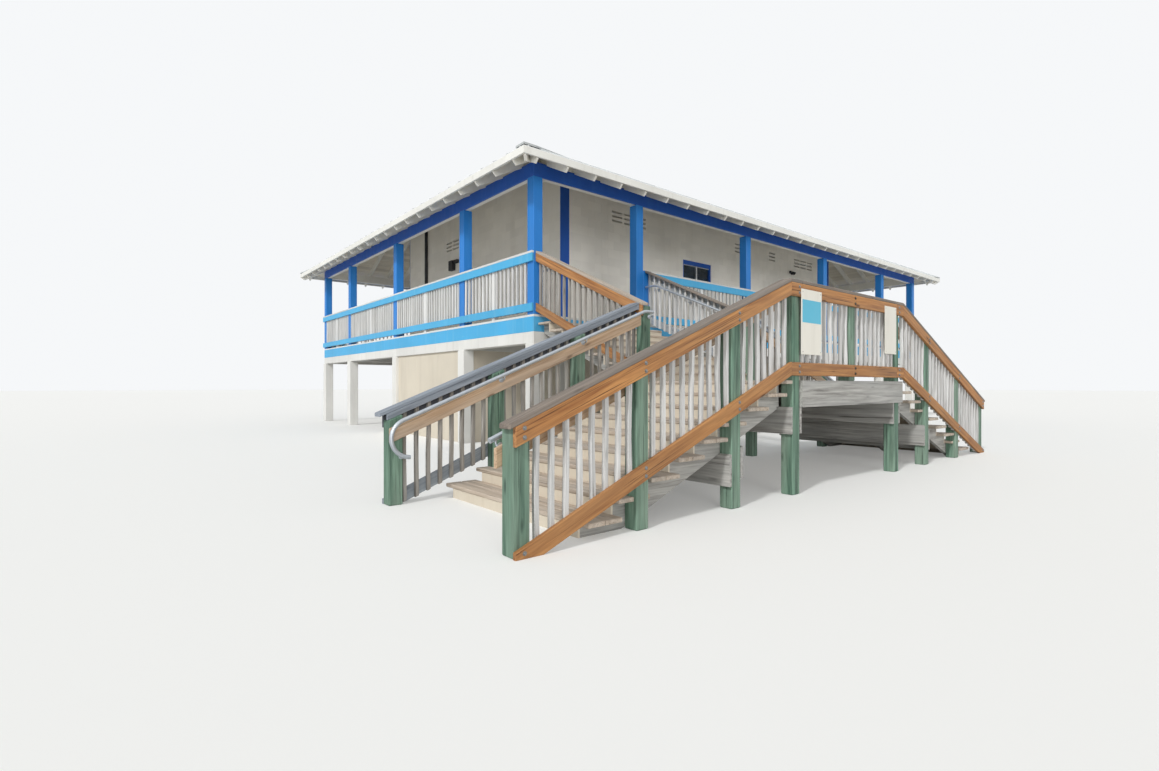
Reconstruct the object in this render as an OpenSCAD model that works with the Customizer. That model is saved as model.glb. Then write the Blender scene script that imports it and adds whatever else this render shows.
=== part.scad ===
// Raised beach pavilion on posts, with a wrap-round deck, a hip roof and a T-shaped timber stair.
// Millimetres, +Z up. The long stair side faces -Y. The near left corner of the deck columns is
// the working corner, and at_origin() moves the building to the middle of its footprint.

/* [Bays] */
// Spacing of the first and last posts along the long sides
long_end_bay = 2438; // [1800:10:3200]
// Spacing of the middle posts along the long sides
long_mid_bay = 3658; // [2800:10:4600]
// Spacing of the first and last posts along the short sides
side_end_bay = 2438; // [2200:10:3200]
// Spacing of the middle posts along the short sides
side_mid_bay = 3480; // [2800:10:4400]

/* [Ground storey] */
// Height of the deck surface above the ground
deck_h = 2363; // [2200:10:2600]
// Side of the square ground posts
pier_w = 240; // [200:5:320]
// Depth of the pale girders that lie on the ground posts
girder_h = 198; // [140:2:300]
// Width of those girders
girder_w = 190; // [140:5:235]
// Thickness of the ground storey wall
store_wall_t = 100; // [60:5:150]

/* [Deck] */
// Thickness of the deck boards
board_t = 38; // [25:1:50]
// Depth of the deck joists and of the band round them
joist_h = 251; // [200:1:300]
// Thickness of one joist
joist_t = 38; // [30:1:60]
// Spacing of the joists
joist_gap = 610; // [400:10:800]

/* [Upper storey] */
// Side of the square deck columns
column_w = 190; // [150:5:235]
// Clear height from the deck to the eave beam
beam_clear = 2326; // [2200:10:2800]
// Depth of the eave beam
beam_h = 241; // [180:1:320]
// Width of the eave beam
beam_w = 140; // [90:5:180]

/* [Roof] */
// Rise of the roof for each unit of run
pitch = 0.5; // [0.35:0.01:0.65]
// Depth of a rafter, square to the slope
rafter_d = 184; // [140:1:235]
// Thickness of a rafter
rafter_t = 38; // [30:1:60]
// Spacing of the rafters
rafter_gap = 610; // [400:10:800]
// Distance from the left end of the long eaves to their first rafter
rafter_first = 225; // [150:5:400]
// Reach of the rafter tails past the columns
tail_out = 560; // [350:10:800]
// Length of the slanted cut under each rafter tail
tail_cut = 60; // [30:5:90]
// Depth of the seat that a rafter has on a beam or a wall
seat = 25; // [15:1:40]
// Thickness of the hip rafters and the ridge board
hip_t = 45; // [38:1:90]
// Thickness of the boards on the rafters
sheathing_t = 25; // [16:1:38]
// Thickness of the roof sheet
sheet_t = 20; // [10:1:30]
// Depth of the trim along the eaves
eave_trim_h = 110; // [80:5:150]
// Thickness of the trim along the eaves
eave_trim_t = 38; // [19:1:50]
// Width of each side of the caps on the hips and the ridge
cap_w = 160; // [100:5:250]
// Thickness of those caps
cap_t = 30; // [15:1:45]

/* [Room] */
// Width of the walk along the long walls of the room
walk_w = 2000; // [1700:10:2200]
// Width of the walk along its short walls
side_walk_w = 2100; // [1700:10:2300]
// Thickness of the room walls
wall_t = 200; // [150:5:250]
// Width of the trim at the ends of the long walls
corner_trim_w = 240; // [120:5:300]
// Thickness of that trim
corner_trim_t = 20; // [10:1:30]
// Distance from the left end of the long side to the window
window_x = 6190; // [5600:10:6600]
// Width of the small window
window_w = 1180; // [800:10:1400]
// Height of the small window
window_h = 600; // [400:10:800]
// Height of the window sill above the deck
window_sill = 1530; // [1200:10:1700]
// Width of the window frame
window_frame_w = 70; // [50:5:100]
// Depth of the frame behind the face of the wall
window_reveal = 20; // [10:1:60]
// Thickness of the panes
pane_t = 8; // [4:1:12]
// Width of a doorway
door_w = 1000; // [900:10:1200]
// Height of a doorway
door_h = 2080; // [1980:10:2200]
// Width of the door frames
door_frame_w = 60; // [40:5:90]
// Length of one vent block
vent_w = 400; // [300:5:440]
// Height of one vent block
vent_h = 320; // [240:5:400]
// Height of the bottom of the vents above the deck
vent_z = 2634; // [2400:2:2800]
// Slots above each other in one vent block
vent_slots = 3; // [2:1:4]
// Height of one vent slot
vent_slot_h = 45; // [20:1:55]
// Width of the web at the ends of a slot
vent_web = 30; // [20:1:60]
// Distance from the near corner of the room to the vent in the left wall
side_vent_in = 4650; // [3000:10:5500]
// Distance from that corner to the pipe on the left wall
pipe_in = 6710; // [6000:10:7500]

/* [Railing] */
// Height of the railings
rail_h = 1067; // [950:1:1150]
// Width of a rail board
rail_w = 140; // [90:5:160]
// Thickness of a rail board
rail_t = 38; // [25:1:50]
// Gap under the bottom rail
rail_foot = 50; // [30:5:100]
// Side of the square balusters
baluster_w = 38; // [28:1:50]
// Spacing of the balusters
baluster_gap = 128; // [110:1:160]
// Side of the posts halfway along the bays
half_post_w = 89; // [70:1:140]

/* [Stair] */
// Length of the landing
landing_len = 2850; // [2500:10:3100]
// Depth of the landing and width of its side flights
landing_w = 2320; // [1900:10:2600]
// Height of the landing
landing_h = 1217; // [1120:1:1300]
// Distance from the landing to the deck edge
high_len = 2330; // [2100:10:2600]
// Steps from the ground to the landing
low_steps = 9; // [8:1:10]
// Steps from the landing to the deck
high_steps = 8; // [7:1:9]
// Going of one step of the side flights
low_run = 340; // [300:5:370]
// Side of the stair posts
post_w = 140; // [120:5:160]
// Distance between the stair posts
post_gap = 1165; // [1080:5:1250]
// Distance from the end of the landing to its posts
post_in = 80; // [20:5:120]
// How far the upper front post of a side flight stands nearer the landing
front_shift = 95; // [0:5:150]
// Thickness of the treads
tread_t = 38; // [30:1:50]
// How far a tread reaches past its riser
nosing = 30; // [15:1:45]
// Thickness of the risers
riser_t = 19; // [15:1:25]
// Thickness of the stringers
stringer_t = 50; // [38:1:75]
// Depth of a stringer below the notches for its treads
stringer_d = 135; // [110:5:180]
// Depth of the landing joists
landing_joist_h = 245; // [180:5:286]
// Depth of the tie boards across the stair posts and of the front rim of the landing
tie_h = 286; // [180:1:300]
// Diameter of the handrail tube
tube_d = 42; // [34:1:50]
// Height of the middle of the handrail tube above the steps
tube_h = 930; // [860:5:960]
// Height of the middle of the tubes of the upper flight above its steps
high_tube_h = 850; // [800:5:900]
// Distance from the landing to the lower end of those tubes
high_tube_in = 150; // [80:5:200]
// Length of their level ends at the deck
high_tube_level = 300; // [200:5:400]
// Radius of the half circle in which the tubes of the side flights turn back
tube_r = 185; // [120:5:200]
// Height of the boards that carry the tubes above the steps
inner_z = 750; // [600:5:760]
// Depth of the board under the cap of the side flights
cap_board = 89; // [60:1:140]
// Number of stringers under a flight
stringers = 3; // [2:1:4]
// How far the caps of the side flights reach past their foot posts
cap_reach = 75; // [0:5:120]

/* [Fittings] */
// Width of the large notice board
sign_w = 430; // [300:10:500]
// Height of the large notice board
sign_h = 700; // [500:10:750]
// Width of the small notice board
small_sign_w = 350; // [250:10:450]
// Height of the small notice board
small_sign_h = 620; // [400:10:700]
// Thickness of the notice boards
sign_t = 6; // [4:1:12]
// Diameter of the pipe on the wall
pipe_d = 90; // [50:5:120]

/* [Hidden] */

eps = 1;
col_x = [0, long_end_bay, long_end_bay + long_mid_bay, long_end_bay + 2 * long_mid_bay,
    long_end_bay + 3 * long_mid_bay, 2 * long_end_bay + 3 * long_mid_bay];
col_y = [0, side_end_bay, side_end_bay + side_mid_bay, side_end_bay + 2 * side_mid_bay,
    2 * side_end_bay + 2 * side_mid_bay];
long = col_x[5] + column_w;
deep = col_y[4] + column_w;

joist_z = deck_h - board_t - joist_h;
girder_z = joist_z - girder_h;
beam_z = deck_h + beam_clear;
beam_top = beam_z + beam_h;

// The roof planes rise inward from the outer faces of the columns
slope_len = sqrt(1 + pitch * pitch);
rafter_z = beam_top - seat;
sheathing_z = rafter_z + rafter_d * slope_len;
sheet_z = sheathing_z + sheathing_t * slope_len;
sheet_top = sheet_z + sheet_t * slope_len;
cap_top = sheet_top + cap_t * slope_len;
eave_out = tail_out + eave_trim_t;
wall_top = rafter_z + walk_w * pitch + seat;
side_wall_top = rafter_z + side_walk_w * pitch + seat;

// Left edges of the doorways in the back wall
door_xs = [long / 3 - door_w / 2, 2 * long / 3 - door_w / 2];
// Left end and number of blocks of each vent in the front wall
front_vents = [[3610, 3], [8450, 2], [10210, 1], [11660, 3]];
side_vent_y = walk_w + side_vent_in;
side_vents = 2;
pipe_y = walk_w + pipe_in;
side_lamp_w = 220;
side_lamp_h = 270;
side_lamp_drop = 560;
lamp_x = 11460;
lamp_z = 2400;
lamp_w = 200;

low_rise = landing_h / low_steps;
high_rise = (deck_h - landing_h) / high_steps;
high_run = high_len / (high_steps - 1);
low_pitch = low_rise / low_run;
low_len = low_run * (low_steps - 1);
landing_y0 = -high_len - landing_w;
landing_y1 = -high_len;
low_posts = 4;
foot_x = post_in - (low_posts - 1) * post_gap;
stair_right = landing_len - post_in + rail_t;
tube_start = foot_x + 100;
tube_off = 70;
bracket_d = 16;
bracket_drop = 80;
sign_x = 180;
small_sign_x = 2240;
sign_drop = 90;
roof_gap = 8;
cap_end = foot_x - cap_reach;
mid_x = (min(-eave_out, cap_end) + max(long + eave_out, landing_len - cap_end)) / 2;
mid_y = (landing_y0 - rail_t - sign_t + deep + eave_out) / 2;

module at_origin() {
    translate([-mid_x, -mid_y, 0]) children();
}

// A box between two corners
module block(a, b) {
    translate(a) cube([b[0] - a[0], b[1] - a[1], b[2] - a[2]]);
}

// The same shape again at the far end of a length
module both_ends(len) {
    children();
    translate([len, 0, 0]) mirror([1, 0, 0]) children();
}

// Everything under four roof planes that pass height z at the column faces
module under_roof(z, out, base) {
    intersection() {
        translate([-out, 0, 0]) rotate([90, 0, 90]) linear_extrude(long + 2 * out)
            polygon([[-out, base], [deep + out, base], [deep + out, z - out * pitch],
                [deep / 2, z + deep / 2 * pitch], [-out, z - out * pitch]]);
        translate([0, deep + out, 0]) rotate([90, 0, 0]) linear_extrude(deep + 2 * out)
            polygon([[-out, base], [long + out, base], [long + out, z - out * pitch],
                [long / 2, z + long / 2 * pitch], [-out, z - out * pitch]]);
    }
}

// The layer between two heights of the roof planes
module roof_layer(z0, z1, out) {
    difference() {
        under_roof(z1, out, z0 - (out + eps) * pitch);
        under_roof(z0, out + eps, z0 - (out + eps) * pitch - column_w);
    }
}

// The space above the slanted cut under the rafter tails
module tail_bowl() {
    out = tail_out;
    z = rafter_z - (tail_out - tail_cut) * pitch + tail_cut;
    top = z + deep + long;
    intersection() {
        translate([-out, 0, 0]) rotate([90, 0, 90]) linear_extrude(long + 2 * out)
            polygon([[-out, z], [deep / 2, z - out - deep / 2], [deep + out, z],
                [deep + out, top], [-out, top]]);
        translate([0, deep + out, 0]) rotate([90, 0, 0]) linear_extrude(deep + 2 * out)
            polygon([[-out, z], [long / 2, z - out - long / 2], [long + out, z],
                [long + out, top], [-out, top]]);
    }
}

// Plan of the front slope, and of the left one
module front_plan() {
    polygon([[-tail_out, -tail_out], [long + tail_out, -tail_out],
        [long - deep / 2, deep / 2], [deep / 2, deep / 2]]);
}

module left_plan() {
    polygon([[-tail_out, -tail_out], [deep / 2, deep / 2], [-tail_out, deep + tail_out]]);
}

// Plan of the hips and the ridge, with half the given width each side
module hip_plan(half, out) {
    reach = (deep / 2 + out) * sqrt(2);
    for (mx = [0, 1], my = [0, 1])
        translate([mx * long, my * deep]) mirror([mx, 0]) mirror([0, my])
            translate([-out, -out]) rotate(45) translate([0, -half]) square([reach, 2 * half]);
    translate([deep / 2, deep / 2 - half]) square([long - deep, 2 * half]);
}

// Plan of the ridge board, with a block at each end that the hips run into
module ridge_plan() {
    translate([deep / 2, (deep - hip_t) / 2]) square([long - deep, hip_t]);
    for (x = [deep / 2, long - deep / 2])
        translate([x - hip_t, deep / 2 - hip_t]) square(2 * hip_t);
}

// Rafters under a plan, seated on the beams and the walls
module rafter_set() {
    difference() {
        intersection() {
            roof_layer(rafter_z, sheathing_z, tail_out);
            tail_bowl();
            linear_extrude(2 * beam_top + deep) children();
        }
        block([0, 0, 0], [long, deep, beam_top]);
        block([side_walk_w, walk_w, 0], [long - side_walk_w, deep - walk_w, wall_top]);
        for (x = [side_walk_w, long - side_walk_w - wall_t])
            side_wall(x);
    }
}

module front_rafter_set() {
    rafter_set() difference() {
        intersection() {
            front_plan();
            for (x = [rafter_first - tail_out : rafter_gap : long + tail_out])
                translate([x, -tail_out]) square([rafter_t, deep]);
        }
        hip_plan(hip_t / 2, tail_out);
        ridge_plan();
    }
}

module left_rafter_set() {
    rafter_set() difference() {
        intersection() {
            left_plan();
            for (y = [rafter_gap / 2 - tail_out : rafter_gap : deep + tail_out])
                translate([-tail_out, y]) square([deep, rafter_t]);
        }
        hip_plan(hip_t / 2, tail_out);
        ridge_plan();
    }
}

// Board that slopes from x0 to x1, with its underside at z0 and z1, and then runs on level
module slope_board(x0, x1, z0, z1, h, y0, t, level = 0) {
    x2 = x1 + level;
    run_on = level > 0 ? [[x2, z1], [x2, z1 + h]] : [];
    translate([0, y0 + t, 0]) rotate([90, 0, 0]) linear_extrude(t)
        polygon(concat([[x0, z0], [x1, z1]], run_on, [[x1, z1 + h], [x0, z0 + h]]));
}

// Bottom board, top board and cap over a walking line from z0 to z1, outer face on y = 0.
// The cap reaches past the foot of the boards, which run a little way into it.
module rail_boards(x0, x1, z0, z1, reach = 0, level = 0) {
    lean = (z1 - z0) / (x1 - x0);
    under_cap = rail_h - rail_t;
    board = under_cap - rail_w;
    slope_board(x0, x1, z0 + rail_foot, z1 + rail_foot, rail_w, 0, rail_t, level);
    slope_board(x0, x1, z0 + board, z1 + board, rail_w + eps, 0, rail_t, level);
    slope_board(x0 - reach, x1, z0 - reach * lean + under_cap, z1 + under_cap, rail_t, 0, rail_w,
        level);
}

// Evenly spaced balusters behind the boards, between x0 and x1, from just over the edge of the
// bottom board to just inside the cap
module balusters(x0, x1, z0, z1) {
    lean = (z1 - z0) / (x1 - x0);
    count = round((x1 - x0) / baluster_gap);
    step = (x1 - x0) / count;
    for (i = [0 : count - 1]) {
        x = x0 + (i + 0.5) * step - baluster_w / 2;
        z = z0 + (x - x0) * lean + rail_foot + eps;
        slope_board(x, x + baluster_w, z, z + baluster_w * lean, rail_h - rail_t - rail_foot,
            rail_t, baluster_w);
    }
}

// Railing of the deck between two columns, with a post at the middle
module deck_bay(x0, x1) {
    m0 = (x0 + x1 - half_post_w) / 2;
    m1 = m0 + half_post_w;
    rail_boards(x0, x1, deck_h, deck_h);
    balusters(x0, m0, deck_h, deck_h);
    balusters(m1, x1, deck_h, deck_h);
    block([m0, rail_t, deck_h], [m1, rail_t + half_post_w, deck_h + rail_h - rail_t]);
}

module ground_posts() {
    d = (pier_w - column_w) / 2;
    color("ivory") at_origin()
        for (x = col_x, y = col_y)
            block([x - d, y - d, 0], [x + column_w + d, y + column_w + d, girder_z]);
}

module long_girders() {
    d = (column_w - girder_w) / 2;
    color("ivory") at_origin()
        for (y = col_y)
            block([0, y + d, girder_z], [long, y + d + girder_w, joist_z]);
}

module side_girders() {
    d = (column_w - girder_w) / 2;
    color("ivory") at_origin()
        for (x = [0, col_x[5]], i = [0 : 3])
            block([x + d, col_y[i] + column_w - d, girder_z],
                [x + d + girder_w, col_y[i + 1] + d, joist_z]);
}

module store_wall() {
    d = (pier_w - column_w) / 2;
    x = (column_w - store_wall_t) / 2;
    color("antiquewhite") at_origin() {
        block([x, col_y[1] + column_w + d, 0], [x + store_wall_t, col_y[2] - d, girder_z]);
        for (i = [0 : 3])
            block([col_x[i] + column_w + d, col_y[1] + x, 0],
                [col_x[i + 1] - d, col_y[1] + x + store_wall_t, girder_z]);
    }
}

module deck_joists() {
    color("tan") at_origin()
        for (x = [joist_gap - joist_t : joist_gap : long - 2 * joist_t])
            block([x, joist_t, joist_z], [x + joist_t, deep - joist_t, joist_z + joist_h]);
}

// Ring t wide inside the outline of the deck
module ring(t, z0, z1) {
    difference() {
        block([0, 0, z0], [long, deep, z1]);
        block([t, t, z0 - eps], [long - t, deep - t, z1 + eps]);
    }
}

module deck_band() {
    color("deepskyblue") at_origin() ring(joist_t, joist_z, joist_z + joist_h);
}

module deck_floor() {
    color("lightgrey") at_origin() block([0, 0, deck_h - board_t], [long, deep, deck_h]);
}

module deck_columns() {
    color("dodgerblue") at_origin() {
        for (x = col_x, y = [0, col_y[4]])
            block([x, y, deck_h], [x + column_w, y + column_w, beam_z]);
        for (x = [0, col_x[5]], i = [1 : 3])
            block([x, col_y[i], deck_h], [x + column_w, col_y[i] + column_w, beam_z]);
    }
}

module eave_beam() {
    color("dodgerblue") at_origin() ring(beam_w, beam_z, beam_top);
}

// Space of a vent of n blocks whose near corner is at the working corner of a wall
module vent_space(n) {
    block([0, 0, deck_h + vent_z], [n * vent_w, wall_t, deck_h + vent_z + vent_h]);
}

module at_front_vents() {
    for (v = front_vents)
        translate([v[0], walk_w, 0]) vent_space(v[1]);
}

module window_hole() {
    z = deck_h + window_sill;
    block([window_x, walk_w - eps, z], [window_x + window_w, walk_w + wall_t + eps, z + window_h]);
}

module front_wall() {
    color("antiquewhite") at_origin() difference() {
        block([side_walk_w, walk_w, deck_h], [long - side_walk_w, walk_w + wall_t, wall_top]);
        window_hole();
        at_front_vents();
    }
}

module back_wall() {
    color("antiquewhite") at_origin() difference() {
        block([side_walk_w, deep - walk_w - wall_t, deck_h],
            [long - side_walk_w, deep - walk_w, wall_top]);
        for (x = door_xs)
            block([x, deep - walk_w - wall_t - eps, deck_h - eps],
                [x + door_w, deep - walk_w + eps, deck_h + door_h]);
    }
}

module side_wall(x) {
    block([x, walk_w + wall_t, deck_h], [x + wall_t, deep - walk_w - wall_t, side_wall_top]);
}

module side_vent() {
    translate([side_walk_w + wall_t, side_vent_y, 0]) rotate(90) vent_space(side_vents);
}

module left_wall() {
    color("antiquewhite") at_origin() difference() {
        side_wall(side_walk_w);
        side_vent();
    }
}

module right_wall() {
    color("antiquewhite") at_origin() side_wall(long - side_walk_w - wall_t);
}

module corner_trim() {
    color("dodgerblue") at_origin()
        for (mx = [0, 1], my = [0, 1])
            translate([mx * long, my * deep, 0]) mirror([mx, 0, 0]) mirror([0, my, 0])
                block([side_walk_w, walk_w - corner_trim_t, deck_h],
                    [side_walk_w + corner_trim_w, walk_w, wall_top - seat]);
}

// Vent of n blocks with slots right through each
module vent(n) {
    step = vent_h / vent_slots;
    z = deck_h + vent_z + (step - vent_slot_h) / 2;
    difference() {
        vent_space(n);
        for (i = [0 : n - 1], k = [0 : vent_slots - 1])
            block([i * vent_w + vent_web, -eps, z + k * step],
                [(i + 1) * vent_w - vent_web, wall_t + eps, z + k * step + vent_slot_h]);
    }
}

module vent_blocks() {
    color("antiquewhite") at_origin() {
        for (v = front_vents)
            translate([v[0], walk_w, 0]) vent(v[1]);
        translate([side_walk_w + wall_t, side_vent_y, 0]) rotate(90) vent(side_vents);
    }
}

module window_frame() {
    z = deck_h + window_sill;
    f = window_frame_w;
    y = walk_w + window_reveal;
    color("dodgerblue") at_origin() difference() {
        block([window_x, y, z], [window_x + window_w, y + f, z + window_h]);
        for (i = [0, 1])
            block([window_x + f + i * (window_w - f) / 2, y - eps, z + f],
                [window_x + (i + 1) * (window_w - f) / 2, y + f + eps, z + window_h - f]);
    }
}

module window_glass() {
    z = deck_h + window_sill;
    f = window_frame_w;
    y = walk_w + window_reveal + (f - pane_t) / 2;
    color("skyblue", 0.5) at_origin()
        for (i = [0, 1])
            block([window_x + f + i * (window_w - f) / 2, y, z + f],
                [window_x + (i + 1) * (window_w - f) / 2, y + pane_t, z + window_h - f]);
}

module door_frames() {
    f = door_frame_w;
    y = deep - walk_w;
    color("dodgerblue") at_origin()
        for (x = door_xs)
            difference() {
                block([x, y - wall_t, deck_h], [x + door_w, y, deck_h + door_h]);
                block([x + f, y - wall_t - eps, deck_h - eps],
                    [x + door_w - f, y + eps, deck_h + door_h - f]);
            }
}

module rafters() {
    color("white") at_origin() {
        front_rafter_set();
        translate([0, deep, 0]) mirror([0, 1, 0]) front_rafter_set();
        left_rafter_set();
        translate([long, 0, 0]) mirror([1, 0, 0]) left_rafter_set();
    }
}

module hip_rafters() {
    color("white") at_origin() rafter_set() difference() {
        hip_plan(hip_t / 2, tail_out);
        ridge_plan();
    }
}

module ridge_beam() {
    color("white") at_origin() rafter_set() ridge_plan();
}

// The layer between two heights, in four panels that stop short of the hips and the ridge
module roof_panels(z0, z1, out) {
    difference() {
        roof_layer(z0, z1, out);
        linear_extrude(2 * beam_top + deep) hip_plan(roof_gap / 2, out + eps);
    }
}

module roof_boards() {
    color("white") at_origin() roof_panels(sheathing_z, sheet_z, tail_out);
}

module eave_trim() {
    base = sheet_z - eave_out * pitch - eave_trim_h;
    color("gainsboro") at_origin() difference() {
        under_roof(sheet_z, eave_out, base);
        block([-tail_out, -tail_out, base - eps],
            [long + tail_out, deep + tail_out, sheet_z + deep]);
    }
}

module roof_sheet() {
    color("lightsteelblue") at_origin() roof_panels(sheet_z, sheet_top, eave_out);
}

module roof_caps() {
    color("lightsteelblue") at_origin() intersection() {
        roof_layer(sheet_top, cap_top, eave_out);
        linear_extrude(2 * beam_top + deep) hip_plan(cap_w, eave_out);
    }
}

// The first bay starts at the newel of the upper flight
module front_railing() {
    post_end = col_x[1] + column_w;
    color("skyblue") at_origin() {
        deck_bay(max(post_end, stair_right), col_x[2]);
        for (i = [2 : 4])
            deck_bay(col_x[i] + column_w, col_x[i + 1]);
        if (stair_right > post_end)
            block([post_end, 0, deck_h], [stair_right, post_w, deck_h + rail_h]);
    }
}

module back_railing() {
    color("skyblue") at_origin() translate([0, deep, 0]) mirror([0, 1, 0])
        for (i = [0 : 4])
            deck_bay(col_x[i] + column_w, col_x[i + 1]);
}

module left_railing() {
    color("skyblue") at_origin() mirror([1, 0, 0]) rotate(90)
        for (i = [0 : 3])
            deck_bay(col_y[i] + column_w, col_y[i + 1]);
}

module right_railing() {
    color("skyblue") at_origin() translate([long, 0, 0]) rotate(90)
        for (i = [0 : 3])
            deck_bay(col_y[i] + column_w, col_y[i + 1]);
}

// Height of the walking line of the left flight at x
function low_z(x) = landing_h + min(x, 0) * low_pitch;

// Place of post i of the left flight, counted from the landing, in the front row 0 or the back row 1
function post_x(i, row) = post_in - i * post_gap + (i == 1 && row == 0 ? front_shift : 0);
function post_y(row) = row == 0 ? landing_y0 : landing_y1 - post_w;

// Posts of the back rows end under the board below the cap, apart from the ones at the landing
function low_post_top(i, row) = rail_h - rail_t - (i > 0 && row == 1 ? cap_board : 0);

// Post with a sloping top, x from x0, that ends at a height above the walking line
module low_post(x0, y0, top) {
    translate([0, y0 + post_w, 0]) rotate([90, 0, 0]) linear_extrude(post_w)
        polygon([[x0, 0], [x0 + post_w, 0], [x0 + post_w, low_z(x0 + post_w) + top],
            [x0, low_z(x0) + top]]);
}

module stair_posts() {
    color("cadetblue") at_origin() {
        both_ends(landing_len)
            for (i = [0 : low_posts - 1], row = [0, 1])
                low_post(post_x(i, row), post_y(row), low_post_top(i, row));
        block([(landing_len - post_w) / 2, landing_y0, landing_h],
            [(landing_len + post_w) / 2, landing_y0 + post_w, landing_h + rail_h - rail_t]);
    }
}

// Board across a flight whose top, at height z at x, lies along the underside of the stringers
module tie_board(x, z, lean, y1) {
    translate([x, y1, z]) rotate([90, 0, 0]) linear_extrude(y1 - landing_y0)
        polygon([[0, -tie_h], [joist_t, -tie_h], [joist_t, joist_t * lean], [0, 0]]);
}

// Pairs of boards on both faces of the posts under the landing and halfway down its flights
module post_ties() {
    post = post_x(1, 0);
    under = low_rise + tread_t + stringer_d;
    color("darkgrey") at_origin() both_ends(landing_len) {
        tie_board(post - joist_t, low_z(post - joist_t) - under, low_pitch, landing_y1 - post_w);
        tie_board(post + post_w, low_z(post + post_w) - under, low_pitch, landing_y1);
        for (x = [post_in - joist_t, post_in + post_w])
            tie_board(x, landing_h - tread_t - landing_joist_h, 0, landing_y1);
    }
}

module landing_frame() {
    z1 = landing_h - tread_t;
    z0 = z1 - landing_joist_h;
    x0 = post_in + post_w;
    x1 = landing_len - x0;
    color("darkgrey") at_origin() {
        block([x0, landing_y0 - joist_t, landing_h - tie_h],
            [x1 + post_w + joist_t, landing_y0, landing_h]);
        block([x0, landing_y1 - joist_t, z0], [x1, landing_y1, z1]);
        both_ends(landing_len)
            block([0, landing_y0 + post_w, z0], [joist_t, landing_y1 - post_w, z1]);
        for (k = [0 : 3])
            translate([x0 + k * (x1 - x0 - joist_t) / 3, 0, 0])
                block([0, landing_y0, z0], [joist_t, landing_y1 - joist_t, z1]);
    }
}

// What is cut out round the stair posts
module cut_for_posts() {
    difference() {
        children();
        both_ends(landing_len)
            for (i = [0 : low_posts - 1], row = [0, 1])
                translate([post_x(i, row), post_y(row), 0])
                    block([0, -eps, -eps], [post_w, post_w + eps, deck_h + rail_h]);
    }
}

module landing_floor() {
    color("wheat") at_origin() cut_for_posts()
        block([-nosing, landing_y0, landing_h - tread_t],
            [landing_len + nosing, landing_y1, landing_h]);
}

// Outline of a stringer under its steps, which go up from the origin along +X, cut off at base
module stringer_shape(steps, run, rise, base) {
    len = run * (steps - 1);
    drop = tread_t + stringer_d;
    intersection() {
        polygon(concat(
            [for (k = [0 : steps - 2]) each [
                [k * run, k * rise - tread_t], [k * run, (k + 1) * rise - tread_t]]],
            [[len, (steps - 1) * rise - tread_t], [len, (steps - 1) * rise - drop],
                [0, -drop]]));
        translate([0, base]) square([len, steps * rise - base]);
    }
}

module side_stringers() {
    y0 = landing_y0 + post_w;
    step = (landing_w - 2 * post_w - stringer_t) / (stringers - 1);
    color("darkgrey") at_origin() both_ends(landing_len)
        for (i = [0 : stringers - 1])
            translate([-low_len, y0 + i * step + stringer_t, 0]) rotate([90, 0, 0])
                linear_extrude(stringer_t) stringer_shape(low_steps, low_run, low_rise, 0);
}

module side_treads() {
    color("wheat") at_origin() both_ends(landing_len)
        for (k = [1 : low_steps - 1])
            cut_for_posts()
                block([-low_len + (k - 1) * low_run - nosing, landing_y0, k * low_rise - tread_t],
                    [-low_len + k * low_run - riser_t, landing_y1, k * low_rise]);
}

module upper_stringers() {
    x0 = post_in + post_w;
    step = (landing_len - 2 * x0 - stringer_t) / (stringers - 1);
    color("darkgrey") at_origin()
        for (i = [0 : stringers - 1])
            translate([x0 + i * step, landing_y1, landing_h]) rotate([90, 0, 90])
                linear_extrude(stringer_t)
                    stringer_shape(high_steps, high_run, high_rise, -landing_joist_h);
}

module upper_treads() {
    color("wheat") at_origin()
        for (k = [1 : high_steps - 1])
            block([post_in, landing_y1 + (k - 1) * high_run - nosing, landing_h + k * high_rise - tread_t],
                [landing_len - post_in, landing_y1 + k * high_run - riser_t,
                    landing_h + k * high_rise]);
}

// Risers of n steps that go up along +X from the origin, across y0 to y1
module risers(n, run, rise, y0, y1) {
    for (k = [1 : n])
        block([(k - 1) * run - riser_t, y0, max(0, (k - 1) * rise - tread_t)],
            [(k - 1) * run, y1, k * rise - tread_t]);
}

module stair_risers() {
    color("wheat") at_origin() {
        both_ends(landing_len)
            translate([-low_len, 0, 0])
                risers(low_steps, low_run, low_rise, landing_y0 + post_w, landing_y1 - post_w);
        translate([0, landing_y1, landing_h]) mirror([1, 0, 0]) rotate(90)
            risers(high_steps - 1, high_run, high_rise, post_in, landing_len - post_in);
    }
}

// Railing of the left flight, outer face on y = 0, with its inner board on the posts of one row
module low_rail(level, row) {
    rail_boards(foot_x, 0, low_z(foot_x), landing_h, cap_reach, level);
    for (i = [0 : low_posts - 2]) {
        b0 = post_x(i + 1, row) + post_w;
        b1 = min(post_x(i, row), 0);
        balusters(b0, b1, low_z(b0), low_z(b1));
    }
    slope_board(foot_x, 0, low_z(foot_x) + inner_z, low_z(0) + inner_z, rail_w,
        rail_t + post_w, rail_t);
}

module at_front_rail() {
    translate([0, landing_y0 - rail_t, 0]) children();
}

module at_back_rail() {
    translate([0, landing_y1 + rail_t, 0]) mirror([0, 1, 0]) children();
}

module front_left_rail() {
    color("peru") at_origin() at_front_rail() low_rail(0, 0);
}

module front_right_rail() {
    color("peru") at_origin() at_front_rail()
        translate([landing_len, 0, 0]) mirror([1, 0, 0]) low_rail(0, 0);
}

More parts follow.
